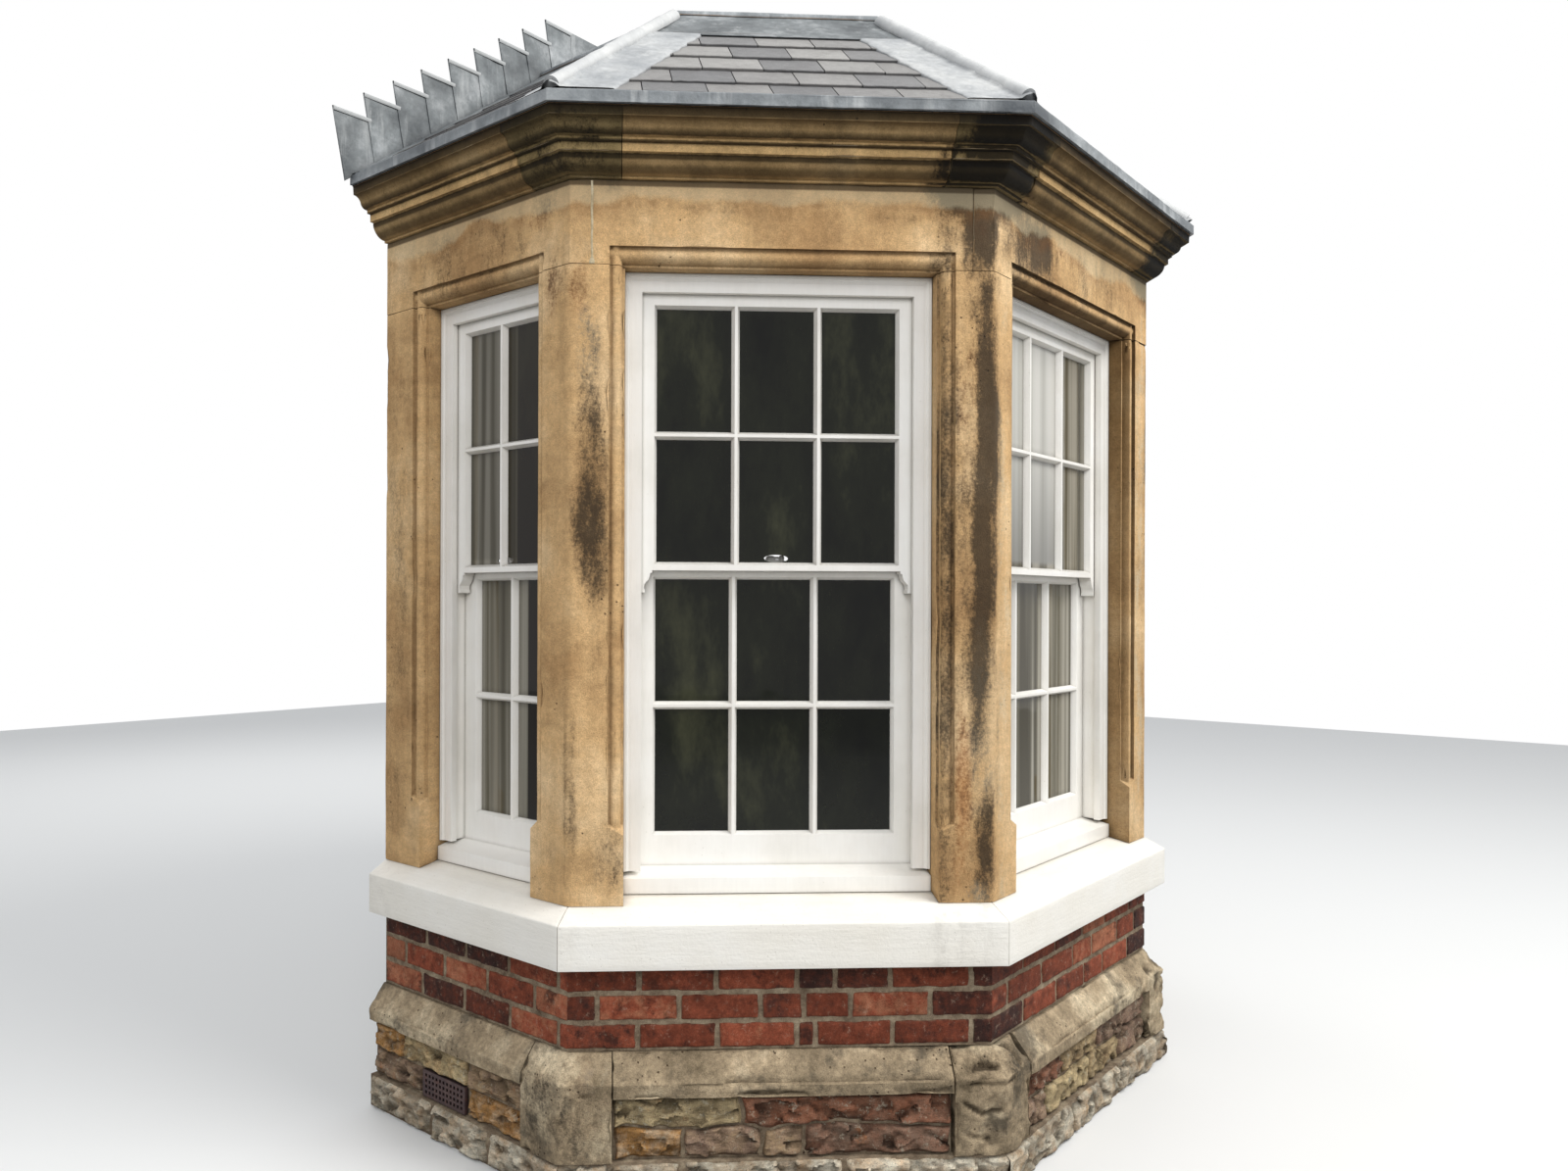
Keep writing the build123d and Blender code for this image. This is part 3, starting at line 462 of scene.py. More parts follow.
class Paint(Tree):
    """A procedural material, built up from noises placed in the row frame. Shades are as on screen."""

    def __init__(self, name, roughness, specular=None):
        super().__init__(bpy.data.materials.new(name))
        self.name = name
        self.place = self.value("Object", "TexCoord")
        specular = specular or (0.2 if roughness > 0.8 else 0.5)
        self.shader = self.node("BsdfPrincipled", {"Roughness": roughness, "Specular IOR Level": specular})
        self.node("OutputMaterial", {"Surface": Value(self, self.shader.outputs[0])})

    def scaled(self, stretch):
        return self.value(0, "Mapping", {"Scale": stretch, "Vector": self.place})

    def noise(self, scale, detail=4, rough=0.6, stretch=(1, 1, 1), distort=0.0):
        inputs = {"Scale": scale, "Detail": detail, "Roughness": rough, "Distortion": distort}
        return self.value("Fac", "TexNoise", {**inputs, "Vector": self.scaled(stretch)})

    def dots(self, scale, size):
        """1 in small round dots scattered at that many a metre."""
        far = self.value("Distance", "TexVoronoi", {"Scale": scale, "Vector": self.scaled((1, 1, 1))})
        return 1.0 - self.step(far, size * 0.7, size)

    def span(self, value, low, high, first=0.3, last=0.7):
        """Stretches the middle of a noise from low to high."""
        inputs = {"Value": value, "From Min": first, "From Max": last, "To Min": low, "To Max": high}
        return self.value("Result", "MapRange", inputs)

    def step(self, value, low, high):
        """0 below low, 1 above high, smooth between."""
        inputs = {"Value": value, "From Min": low, "From Max": high}
        return self.value("Result", "MapRange", inputs, interpolation_type="SMOOTHSTEP")

    def patches(self, low, high, *noise):
        """1 where a noise is above high, and 0 where it is below low."""
        return self.step(self.noise(*noise), low, high)

    def attribute(self, name):
        return self.value("Fac", "Attribute", attribute_name=name)

    def colors(self, name):
        """The three channels of a colour kept at each point."""
        return self.values("SeparateColor", {0: self.value("Color", "Attribute", attribute_name=name)})

    def facing(self):
        """The three parts of the direction that a face looks in."""
        return self.values("SeparateXYZ", {0: self.value("Normal", "NewGeometry")})

    def axes(self):
        return self.values("SeparateXYZ", {0: self.place})

    def height(self):
        return self.axes()[2]

    def distance(self, spot, stretch):
        """How far a point is from the spot, with the axes stretched."""
        inputs = {0: self.scaled(stretch), 1: [a * b for a, b in zip(spot, stretch)]}
        return self.value("Value", "VectorMath", inputs, operation="DISTANCE")

    def occlusion_shade(self, reach):
        """Painted shade from ambient occlusion: 1 deep in a hollow or a joint, and 0 in the open."""
        return self.span(self.value("AO", "AmbientOcclusion", {"Distance": reach}, samples=6), 1.0, 0.0, 0.35, 0.95)

    def ramp(self, value, stops):
        node = self.node("ValToRGB", {"Fac": value})
        elements = node.color_ramp.elements
        for element, (place, color) in zip(elements, (stops[0], stops[-1])):
            element.position, element.color = place, (*color, 1)
        for place, color in stops[1:-1]:
            elements.new(place).color = (*color, 1)
        return Value(self, node.outputs["Color"])

    def shades(self, value, places, *shades):
        return self.ramp(value, [(place, srgb(shade)) for place, shade in zip(places, shades)])

    def ground(self, value, places, *shades):
        """The colour that the others are laid over."""
        self.color = self.shades(value, places, *shades)

    def times(self, tone):
        """The colour times another, which is linear."""
        return self.mix(1.0, self.color, tone, "MULTIPLY")

    def tone(self, value, low, high, *ends):
        """Multiplies the colour by a grey that runs from low to high."""
        self.color = self.times(self.span(value, low, high, *ends))

    def vary(self, low, high, *noise):
        self.tone(self.noise(*noise), low, high)

    def cover(self, mask, shade):
        """Lays a shade over the colour where the mask is 1."""
        self.color = self.mix(mask, self.color, shade if isinstance(shade, Value) else srgb(shade))

    def lead_to(self, name, value):
        """Leads a value to an input of the shader."""
        self.tree.links.new(value.socket, self.shader.inputs[name])

    def finish(self, relief, depth):
        self.lead_to("Base Color", self.color)
        self.lead_to("Normal", self.value(0, "Bump", {"Strength": 1.0, "Distance": depth, "Height": relief}))
        materials[self.name] = self.owner


# Painted shade on the cornice by height: it fills each hollow of the mouldings and the shadow under the drip
CORNICE_SHADE = [
    (2.9150, 0.05), (2.9215, 0.08), (2.9245, 0.95), (2.9320, 0.90), (2.9375, 0.34), (2.9470, 0.32),
    (2.9560, 0.62), (2.9630, 0.54), (2.9685, 0.13), (2.9800, 0.09), (2.9830, 1.00), (3.0040, 1.00),
    (3.0075, 0.14), (3.0105, 0.20), (3.0135, 0.95), (3.0180, 1.00), (3.0205, 0.15), (3.0270, 0.26),
    (3.0380, 0.54), (3.0500, 0.56), (3.0560, 0.32), (3.0600, 0.10), (3.0760, 0.06), (3.0850, 0.03),
]


def lay_cornice_shade(paint):
    """Lays the painted shade on by height, its heights wandering a little."""
    low, high = CORNICE_SHADE[0][0], CORNICE_SHADE[-1][0]
    wander = (paint.noise(30, 4, 0.7) - 0.5) * 0.005
    height = paint.span(paint.height() + wander, 0.0, 1.0, low, high)
    stops = [((z - low) / (high - low), (tone, tone * 0.97, tone * 0.90)) for z, tone in CORNICE_SHADE]
    paint.color = paint.times(paint.ramp(height, stops))


def scalloped_top(paint):
    """The pale weathered band along the top of the lintels, with a brown uneven edge below it, and a painted shadow
    of the cornice along their very top.
    """
    low, height = 2.955, paint.height()
    frayed = height + paint.noise(3.2, 2, 0.5, (1, 1, 0.3)) * 0.16 + paint.noise(24, 6, 0.75) * 0.055
    frieze = paint.step(height, 2.705, 2.74)
    pale = paint.step(frayed, low - 0.004, low + 0.022) * frieze
    edge = paint.step(frayed, low - 0.06, low) - paint.step(frayed, low - 0.002, low + 0.014)
    paint.cover(pale * 0.36, (212, 198, 164))
    paint.cover(edge * frieze * paint.patches(0.42, 0.62, 6, 4, 0.7) * 0.38, (128, 88, 50))
    # Painted shadow of the cornice along the very top of the lintels
    paint.cover(paint.step(height, 2.9055, 2.912) * 0.75, (50, 36, 22))


def shaded_recess(paint):
    """Brown painted shade in the window recesses, heavier on the sides and head of the front one."""
    sideways, _, upward = paint.facing()
    across, _, height = paint.axes()
    front = paint.step(abs(across), 0.66, 0.60)
    turned = paint.step(abs(sideways) + (upward * -1.0).larger(0.0), 0.10, 0.65)
    turned = turned * front * paint.span(height, 0.68, 0.95, 1.7, 2.4)
    deep = turned.larger(paint.occlusion_shade(0.13) * paint.span(front, 0.14, 0.9, 0, 1))
    # Painted shade on the sides and head of the front recess and deep in the others
    paint.cover(deep, paint.times((0.24, 0.215, 0.175)))


def sandstone(
    name, shades, speck, hollow_shade=0.6, bedding=(0.35, 0.35, 4), pits=0.0, mottle=0.15, soot=0.9, underside_shade=0.75,
    top_light=1.1, black=(44, 42, 39), coarse=0.0022, contrast=0.0, cornice_shade=False, lintels=False,
):
    """Fine-grained sandstone: patches, bedding, grains, pits and stains, with painted shade in each hollow and on
    faces that look down, and painted light on faces that look up.
    """
    paint = Paint(name, 0.88)
    paint.ground(paint.noise(2.6, 5, 0.62), (0.34, 0.5, 0.66), *shades)
    paint.vary(0.93, 1.06, 9, 4, 0.7, bedding)
    paint.vary(0.87, 1.08, 18, 4, 0.65, (1, 1, 0.07))
    paint.vary(0.80 - contrast, 1.17 + contrast, 60, 5, 0.78)
    paint.vary(0.76, 1.22, 330, 2, 0.8)
    dulled = paint.mix(0.35, srgb(speck), srgb((96, 92, 84)))
    paint.cover(paint.patches(0.50, 0.66, 6.5, 6, 0.68) * mottle, dulled)
    paint.cover(paint.dots(140, 0.17) * paint.patches(0.42, 0.6, 11) * 0.55, speck)
    holes = paint.dots(38, 0.13) * paint.patches(0.60 - pits, 0.68 - pits, 4.5, 2)
    paint.cover(holes * 0.8, (60, 42, 28))
    stain = paint.colors("stain")
    broken = paint.noise(13, 6, 0.72, (1, 1, 0.4)) - 0.5
    uneven = broken * 2.4 + (paint.noise(110, 4, 0.8) - 0.5) * 1.5
    paint.cover(paint.step(stain[SOOT] + broken * 0.5, 0.02, 0.9) * 0.55, paint.times((0.40, 0.34, 0.27)))
    dirt = paint.mix(0.45, paint.times((0.15, 0.155, 0.18)), srgb(black))
    for kind, shade, most in ((RUST, (170, 104, 52), 0.6), (PALE, (212, 200, 172), 0.75), (SOOT, dirt, soot)):
        mask = paint.step(stain[kind] + uneven, 0.20, 1.0) * paint.step(stain[kind], 0.02, 0.35)
        paint.cover(mask * most, shade)
    # Painted shade on faces that look down, and painted light on faces that look up
    upward = paint.facing()[2]
    paint.tone(upward, underside_shade, 1.0, -0.6, -0.08)
    paint.tone(upward, 1.0, top_light, 0.0, 0.6)
    # Painted shade by height in the mouldings of the cornice and under its drip
    if cornice_shade:
        lay_cornice_shade(paint)
    # Painted shade in each hollow and joint from ambient occlusion, and dark cracks
    paint.cover((paint.occlusion_shade(0.03) * hollow_shade).larger(paint.attribute("crack")), (46, 36, 26))
    if lintels:
        scalloped_top(paint)
        shaded_recess(paint)
    paint.finish(paint.noise(240, 3, 0.7) * 0.6 + paint.noise(45, 4, 0.7) - holes * 1.6, coarse)


buff = ((186, 148, 103), (217, 179, 129), (235, 202, 156))
brown = ((180, 150, 106), (218, 184, 134), (242, 210, 160))
dull = ((130, 114, 80), (166, 146, 106), (198, 177, 134))
grey = ((108, 95, 75), (174, 155, 127), (232, 215, 183))
rough = {"pits": 0.12, "mottle": 0.75, "underside_shade": 0.7, "top_light": 1.12, "coarse": 0.0055, "contrast": 0.2}
lying = {"hollow_shade": 0.3, "bedding": (0.3, 0.3, 9), "mottle": 0.3, "soot": 0.98, "underside_shade": 0.8, "cornice_shade": True}
sandstone("sandstone", buff, (104, 74, 44), pits=0.05, lintels=True)
sandstone("cornice_stone", brown, (74, 56, 34), black=(30, 27, 20), **lying)
sandstone("cornice_block", dull, (62, 52, 36), black=(24, 23, 17), **lying)
sandstone("plinth_stone", grey, (66, 58, 46), 0.45, **rough)
sandstone("inner_stone", grey, (84, 72, 56), pits=0.05, mottle=0.5, underside_shade=0.9, top_light=1.0)

paint = Paint("painted_stone", 0.55)
paint.ground(paint.noise(3.5, 5, 0.6), (0.3, 0.55, 0.7), (246, 241, 230), (251, 247, 238), (253, 250, 243))
paint.vary(0.96, 1.01, 60, 3, 0.7, (0.25, 0.25, 3))
paint.cover(paint.dots(55, 0.10) * 0.35, (150, 136, 112))
paint.cover(paint.patches(0.4, 0.7, 20, 5, 0.7) * paint.colors("stain")[SOOT] * 0.6, (112, 100, 84))
# Painted shade in the corners and joints, from ambient occlusion
paint.cover(paint.occlusion_shade(0.04) * 0.5, (120, 106, 84))
paint.finish(paint.noise(110, 3) + paint.noise(30, 3, 0.6, (0.3, 0.3, 3)), 0.0011)

paint = Paint("brick", 0.85)
tint = paint.colors("tint")
where = tint[0] + (paint.noise(26, 5, 0.72) - 0.5) * 1.35
shades = (60, 40, 36), (90, 52, 42), (124, 65, 47), (150, 80, 58), (172, 112, 84)
paint.ground(where, (0.0, 0.22, 0.48, 0.75, 1.0), *shades)
paint.tone(tint[1], 0.86, 1.16, 0, 1)
paint.vary(0.78, 1.18, 300, 2, 0.8)
paint.vary(0.82, 1.12, 75, 4, 0.75)
paint.vary(0.60, 1.28, 15, 5, 0.72)
paint.cover(paint.patches(0.50, 0.66, 19, 5, 0.72) * paint.step(tint[2], 0.0, 0.8) * 0.8, (50, 32, 28))
paint.cover(paint.dots(150, 0.16) * 0.5, (60, 36, 32))
paint.cover(paint.patches(0.55, 0.70, 48, 6, 0.8) * 0.42, (196, 170, 148))
paint.cover(paint.attribute("edge") * paint.patches(0.42, 0.62, 60, 4, 0.7) * 0.5, (150, 130, 108))
# Painted shade in the joints, from ambient occlusion
paint.cover(paint.occlusion_shade(0.02) * 0.6, (48, 34, 30))
paint.finish(paint.noise(260, 3, 0.75) + paint.noise(60, 3), 0.0022)

paint = Paint("mortar", 0.95)
paint.ground(paint.noise(20, 5, 0.7), (0.3, 0.5, 0.68), (106, 90, 74), (152, 134, 112), (188, 172, 146))
paint.vary(0.66, 1.2, 420, 2, 0.8)
paint.vary(0.78, 1.14, 90, 4, 0.8)
# Painted shade in the recesses, from ambient occlusion
paint.cover(paint.occlusion_shade(0.012) * 0.2, (56, 48, 40))
paint.finish(paint.noise(300, 3, 0.8), 0.003)

paint = Paint("pointing", 0.95)
paint.ground(paint.noise(30, 5, 0.7), (0.3, 0.5, 0.68), (176, 158, 124), (212, 196, 162), (228, 216, 188))
paint.vary(0.85, 1.08, 420, 2, 0.8)
paint.finish(paint.noise(300, 3, 0.8), 0.002)

paint = Paint("rubble", 0.92)
tint = paint.colors("tint")
where = tint[0] + (paint.noise(16, 6, 0.72) - 0.5) * 0.45
shades = (122, 80, 60), (130, 108, 92), (146, 124, 94), (174, 156, 120), (160, 118, 70), (194, 186, 168)
paint.ground(where, (0.0, 0.2, 0.4, 0.6, 0.8, 1.0), *shades)
paint.tone(tint[1], 0.86, 1.1, 0, 1)
paint.vary(0.72, 1.22, 330, 2, 0.8)
paint.vary(0.62, 1.40, 46, 5, 0.75, (0.5, 0.5, 2))
paint.cover(paint.patches(0.57, 0.72, 11, 4, 0.7) * paint.step(tint[2], 0.4, 0.9) * 0.5, (164, 98, 46))
# Painted light and shade: stone that stands out is lighter, and the hollows of the rock face darker
paint.tone(paint.attribute("relief"), 0.42, 1.60, 0.1, 1.0)
paint.cover(paint.patches(0.50, 0.64, 30, 6, 0.75, (0.6, 0.6, 1.6)) * 0.45, (60, 44, 34))
paint.cover(paint.patches(0.55, 0.66, 34, 6, 0.8) * 0.6, (206, 198, 176))
paint.cover(paint.dots(80, 0.17) * 0.6, (48, 38, 30))
low = 1.0 - paint.step(paint.height(), 0.0, 0.16)
paint.cover(low * paint.patches(0.46, 0.66, 18, 5, 0.7) * 0.3, (84, 82, 58))
# Painted shade between the stones, from ambient occlusion
paint.cover(paint.occlusion_shade(0.02) * 0.55, (42, 34, 28))
paint.finish(paint.noise(220, 3, 0.8) + paint.noise(50, 4, 0.75) * 1.4, 0.005)

paint = Paint("slate", 0.55)
shades = (104, 104, 105), (122, 121, 121), (136, 134, 132), (154, 152, 149)
paint.ground(paint.colors("tint")[0], (0.0, 0.35, 0.7, 1.0), *shades)
paint.vary(0.84, 1.12, 7, 5, 0.7)
paint.vary(0.88, 1.1, 34, 4, 0.7, (1, 1, 0.35))
paint.vary(0.9, 1.08, 260, 2, 0.8)
paint.cover(paint.patches(0.60, 0.68, 60, 5, 0.75) * 0.4, (164, 160, 156))
paint.cover(paint.patches(0.55, 0.7, 11, 4, 0.7, (1, 1, 0.3)) * 0.35, (92, 87, 86))
paint.cover(paint.attribute("edge") * 0.55, (58, 54, 60))
# Painted shade under and between the slates, from ambient occlusion
paint.cover(paint.occlusion_shade(0.02) * 0.8, (30, 28, 32))
paint.finish(paint.noise(40, 5, 0.7, (1, 1, 0.5)) + paint.noise(240, 2) * 0.4, 0.0022)


def lead(name, shades, pale, dark):
    """Weathered sheet lead, each sheet with its own tone, patina clouds and run marks, a pale patina with a painted
    highlight on rolls and crests, and painted shade in every hollow.
    """
    paint = Paint(name, 0.58, 0.6)
    tint = paint.colors("tint")
    patina_and_highlight = paint.math("SUBTRACT", tint[2], 1.0, clamp=True)
    paint.ground(paint.noise(5, 5, 0.65), (0.34, 0.52, 0.66), *shades)
    paint.tone(tint[0], 0.86, 1.1, 0, 1)
    paint.vary(0.82, 1.14, 34, 5, 0.72)
    paint.vary(0.94, 1.05, 150, 3, 0.7)
    paint.cover(paint.patches(0.54, 0.7, 15, 4, 0.7, (1, 1, 0.12)) * 0.4, pale)
    paint.cover(paint.patches(0.58, 0.7, 23, 5, 0.75) * 0.4, dark)
    # Pale patina with a painted highlight on the hip rolls and the crests of the flashings
    paint.cover(patina_and_highlight, pale)
    paint.cover(paint.colors("stain")[SOOT] * paint.span(paint.noise(20, 5, 0.7), 0.5, 1.0), (70, 75, 80))
    # Painted shade in the laps and hollows, from ambient occlusion, kept off the pale rolls and crests
    paint.cover(paint.occlusion_shade(0.03) * (1.0 - patina_and_highlight) * 0.7, (46, 48, 52))
    paint.cover(paint.attribute("edge") * 0.6, dark)
    paint.lead_to("Roughness", paint.span(paint.noise(30, 4), 0.5, 0.7))
    paint.finish(paint.noise(26, 4, 0.6) + paint.noise(160, 2) * 0.25, 0.0024)


lead("lead", ((106, 111, 115), (150, 155, 158), (192, 196, 198)), (205, 207, 207), (90, 95, 99))
lead("lead_dull", ((82, 87, 90), (122, 127, 129), (170, 173, 175)), (188, 190, 190), (68, 73, 77))
lead("lead_pale", ((154, 157, 160), (180, 182, 183), (200, 201, 200)), (214, 214, 212), (126, 131, 135))


def gloss_paint(name, roughness, *shades):
    """Brushed gloss paint, with dust specks, and painted shade in its corners."""
    paint = Paint(name, roughness)
    paint.ground(paint.noise(4, 4, 0.6), (0.35, 0.5, 0.65), *shades)
    paint.vary(0.975, 1.01, 90, 3, 0.6, (1, 1, 0.12))
    # Painted shade in the corners, from ambient occlusion
    paint.cover(paint.occlusion_shade(0.012) * 0.6, (134, 128, 116))
    paint.cover(paint.dots(46, 0.07) * paint.patches(0.5, 0.6, 6) * 0.4, (150, 142, 126))
    paint.finish(paint.noise(120, 3, 0.6, (1, 1, 0.15)), 0.0005)


gloss_paint("white_paint", 0.38, (240, 237, 230), (246, 243, 237), (249, 247, 242))
gloss_paint("fastener_paint", 0.3, (226, 224, 218), (236, 234, 229), (242, 240, 236))

paint = Paint("cast_iron", 0.62)
paint.ground(paint.noise(24, 5, 0.7), (0.3, 0.5, 0.7), (48, 34, 36), (66, 48, 48), (86, 66, 62))
paint.cover(paint.patches(0.55, 0.68, 60, 5, 0.75) * 0.45, (116, 70, 46))
# Painted shade in the hollows, from ambient occlusion
paint.cover(paint.occlusion_shade(0.012) * 0.7, (20, 15, 15))
paint.finish(paint.noise(240, 3, 0.7), 0.0015)

# Glass painted dark as the shade of the unlit room behind it, its greenish blotches a painted reflection, with
# curtains behind the returns and the front, and a net in the left of the front
FASTENER_SHIFT = {0: 0.016, 1: 0, 3: 0, 4: -0.016}
paint = Paint("window_glass", 0.04, 0.22)
room = paint.noise(3.4, 6, 0.66, (1, 1, 0.45))
folds = paint.noise(20, 2, 0.5, (1, 1, 0.015))
across, inward, height = paint.axes()
side = paint.step(abs(across), 1.320, 1.325)
front = paint.step(inward * -1.0, 0.612, 0.618)
upper = paint.step(height, 1.830, 1.850)
paint.ground(folds, (0.32, 0.5, 0.64), (170, 167, 159), (192, 190, 182), (202, 199, 192))
paint.tone(height, 0.45, 1.0, 1.85, 2.30)
net = paint.color
cloth = paint.shades(folds, (0.34, 0.5, 0.62), (66, 60, 44), (106, 101, 86), (158, 153, 140))
# Painted shade of the unlit room behind the glass, with greenish blotches as a painted reflection
paint.ground(room, (0.36, 0.52, 0.66), (8, 9, 6), (24, 26, 17), (56, 57, 40))
paint.cover(side * 0.7, (30, 20, 11))
drawn = side * paint.step(inward, 0.440, 0.446) * paint.span(upper, 0.85, 0.55, 0, 1)
paint.cover(drawn.larger(front), cloth)
paint.cover(front * upper * paint.step(across, 0.135, 0.130), net)
# Painted shadow of the bars along the edges of the panes, from ambient occlusion
paint.cover(paint.occlusion_shade(0.025) * 0.75, (26, 26, 22))
# It is clear just in front of the white sash fasteners, so that they show
spots = [faces[i].point(faces[i].length / 2 + shift, -0.136, 1.837) for i, shift in FASTENER_SHIFT.items()]
clear = [paint.step(paint.distance(spot, (1, 1, 3.2)), 0.038, 0.036) for spot in spots]
paint.lead_to("Alpha", 1.0 - functools.reduce(Value.larger, clear))
paint.finish(paint.noise(5, 2), 0.0008)

paint = Paint("timber", 0.8)
grain = paint.noise(26, 5, 0.65, (1, 0.12, 1), 0.4)
paint.ground(grain, (0.3, 0.5, 0.7), (112, 84, 56), (148, 114, 78), (172, 138, 98))
joints = paint.step(paint.math("PINGPONG", paint.axes()[0], 0.075), 0.003, 0.001)
paint.cover(joints * 0.8, (40, 30, 22))
paint.finish(grain, 0.001)

paint = Paint("gap", 0.95)
paint.ground(paint.noise(30, 4), (0.3, 0.7), (26, 24, 26), (46, 44, 46))
paint.finish(paint.noise(80), 0.002)

paint = Paint("plaster", 0.9)
paint.ground(paint.noise(3, 4), (0.35, 0.65), (222, 218, 208), (236, 233, 226))
paint.vary(0.96, 1.02, 40, 4)
paint.finish(paint.noise(70, 4, 0.6), 0.0012)

slots = {part["node"]: part["material_slot"] for part in frame["record"]["subparts"]}
for name, node in nodes.items():
    node.data.materials.clear()
    node.data.materials.append(materials[slots[name]])


# ---------------------------------------------------------------- worn stones
# Wear of each kind of stone: bevel, spacing of the cuts up, along and inwards, roughness, size of dents and chips
PIER = 0.0016, (0.012, 0.014, 0.03), 0.0022, 0.16, 0.008
LINTEL = 0.0016, (0.02, 0.02, 0.05), 0.002, 0.16, 0.005
SILL = 0.004, (0.03, 0.03, 0.03), 0.0008, 0.2, 0.0
CORNICE = 0.0012, (None, 0.03, 0.03), 0.0016, 0.12, 0.004
CORNICE_BLOCK = 0.0012, (None, 0.02, 0.02), 0.0022, 0.1, 0.006
PLINTH = 0.0025, (0.006, 0.016, 0.016), 0.003, 0.12, 0.014
PLINTH_CORNER = 0.003, (0.007, 0.009, 0.009), 0.004, 0.12, 0.02
for corner, name in enumerate(("outer_left", "front_left", "front_right", "outer_right"), 1):
    worn_copy("pier_" + name, "sandstone", PIER, corner, faces[corner - 1].along + faces[corner].along)
for name, face in (("wall_pier_left", faces[0]), ("wall_pier_right", faces[4])):
    worn_copy(name, "sandstone", PIER, face.index + 10, face.along)
for face in faces:
    worn_copy("lintel_" + face.name, "sandstone", LINTEL, face.index + 20, face.along)
    worn_copy("sill_" + face.name, "painted_stone", SILL, face.index + 30, face.along)
worn_copy("cornice_lengths", "cornice_stone", CORNICE, 41, reach=0.015)
worn_copy("cornice_corner_blocks", "cornice_stone", CORNICE_BLOCK, 42, reach=0.015, material="cornice_block")

# Cracks, hollows and broken edges of the plinth: face, line along and up it, depth and half width
CUTS = [
    (LEFT_CANT, ((0.46, 0.334), (0.70, 0.331), (1.09, 0.334)), 0.012, 0.007),
    (LEFT_CANT, ((0.34, 0.326), (0.47, 0.320), (0.60, 0.327)), 0.007, 0.006),
    (LEFT_CANT, ((0.50, 0.290), (0.58, 0.297), (0.68, 0.290)), 0.016, 0.011),
    (LEFT_CANT, ((1.02, 0.291), (1.10, 0.298)), 0.013, 0.009),
    (LEFT_CANT, ((0.20, 0.290), (0.26, 0.293)), 0.010, 0.008),
    (LEFT_CANT, ((1.18, 0.352), (1.21, 0.360), (1.25, 0.357)), 0.022, 0.009),
    (LEFT_CANT, ((1.17, 0.312), (1.29, 0.309)), 0.012, 0.006),
    (FRONT_FACE, ((-0.03, 0.309), (0.02, 0.311)), 0.012, 0.006),
    (FRONT_FACE, ((0.055, 0.395), (0.080, 0.375), (0.083, 0.345), (0.070, 0.325)), 0.020, 0.008),
    (LEFT_CANT, ((1.15, 0.255), (1.20, 0.225), (1.26, 0.235)), 0.012, 0.007),
    (LEFT_CANT, ((1.16, 0.165), (1.22, 0.150)), 0.010, 0.006),
    (FRONT_FACE, ((0.30, 0.331), (0.70, 0.335), (0.95, 0.332)), 0.010, 0.007),
    (LEFT_RETURN, ((0.15, 0.333), (0.45, 0.330)), 0.009, 0.007),
    (LEFT_CANT, ((0.040, 0.300), (0.062, 0.298)), 0.008, 0.005),
    (LEFT_CANT, ((0.010, 0.345), (0.018, 0.352)), 0.008, 0.005),
    (LEFT_CANT, ((0.075, 0.215), (0.083, 0.222)), 0.008, 0.005),
]


def cuts(points, normals):
    """Depth of the cracks in the plinth. Those of the left half are mirrored on the right."""
    depth = np.zeros(len(points))
    uneven = 0.75 + 0.45 * noise(points, 0.02, 7)
    for index, line, deep, wide in CUTS:
        places = [(faces[index], line)]
        if index < FRONT_FACE:
            places.append((faces[4 - index], [(faces[index].length - u, z) for u, z in line]))
        for face, path in places:
            near = distance_to(face.local(points), [(np.array(a), np.array(b)) for a, b in zip(path, path[1:])])
            depth = np.maximum(depth, deep * face.facing(normals, 0.2) * uneven * np.clip(1.3 - near / wide, 0, 1))
    return depth


def pitted(points, normals):
    """The cracks, and the rough pitted faces of the two front corner stones."""
    middle = np.hypot(np.abs(points[:, 0]) - FRONT / 2, points[:, 1] - CORNERS[2][1])
    rough = np.clip(0.30 - middle, 0, 0.05) / 0.05 * np.where(points[:, 0] > 0, 1.0, 0.6)
    return cuts(points, normals) + rough * 0.016 * np.clip(fbm(points, 0.05, 55) * 1.6 + 0.2, 0, 1)


worn_copy("plinth_lengths", "plinth_stone", PLINTH, 43, reach=0.025, extra=cuts)
worn_copy("plinth_corner_stones", "plinth_stone", PLINTH_CORNER, 44, often=0.2, extra=pitted)


# ---------------------------------------------------------------- bricks and rubble
# The rubble's beds are crooked between these heights, and get straight over so much
RUBBLE_FOOT, RUBBLE_TOP, STRAIGHTENS = 0.105, 0.289, 0.03


def spread(a, b, edge, step, rounded_a, rounded_b):
    """Positions from a to b, close together where an edge is rounded."""
    near = edge * np.array([0, 0.15, 0.35, 0.65])
    low = a + edge if rounded_a else a
    high = b - edge if rounded_b else b
    parts = [np.linspace(low, high, max(2, int((high - low) / step) + 2))]
    if rounded_a:
        parts.insert(0, a + near)
    if rounded_b:
        parts.append(b - near[::-1])
    return np.concatenate(parts)


def facets(us, zs, places, rng):
    """Relief of a rock face from 0 to 1: tilted planes with broken steps between them."""
    count = 4 + int((us.max() - us.min()) * (zs.max() - zs.min()) / 0.0016)
    bent_u = us + 0.012 * fbm(places, 0.04, 301)
    bent_z = zs + 0.008 * fbm(places, 0.04, 302)
    relief, nearest = np.zeros(len(us)), np.full(len(us), np.inf)
    for _ in range(count):
        u, z = rng.uniform(us.min(), us.max()), rng.uniform(zs.min(), zs.max())
        far = np.hypot(bent_u - u, 1.8 * (bent_z - z))
        plane = rng.uniform(0.35, 1.0) + rng.normal(0, 5) * (us - u) + rng.normal(2, 12) * (zs - z)
        relief = np.where(far < nearest, plane, relief)
        nearest = np.minimum(nearest, far)
    return np.clip(relief + 0.35 * fbm(places, 0.03, 303), 0, 1)


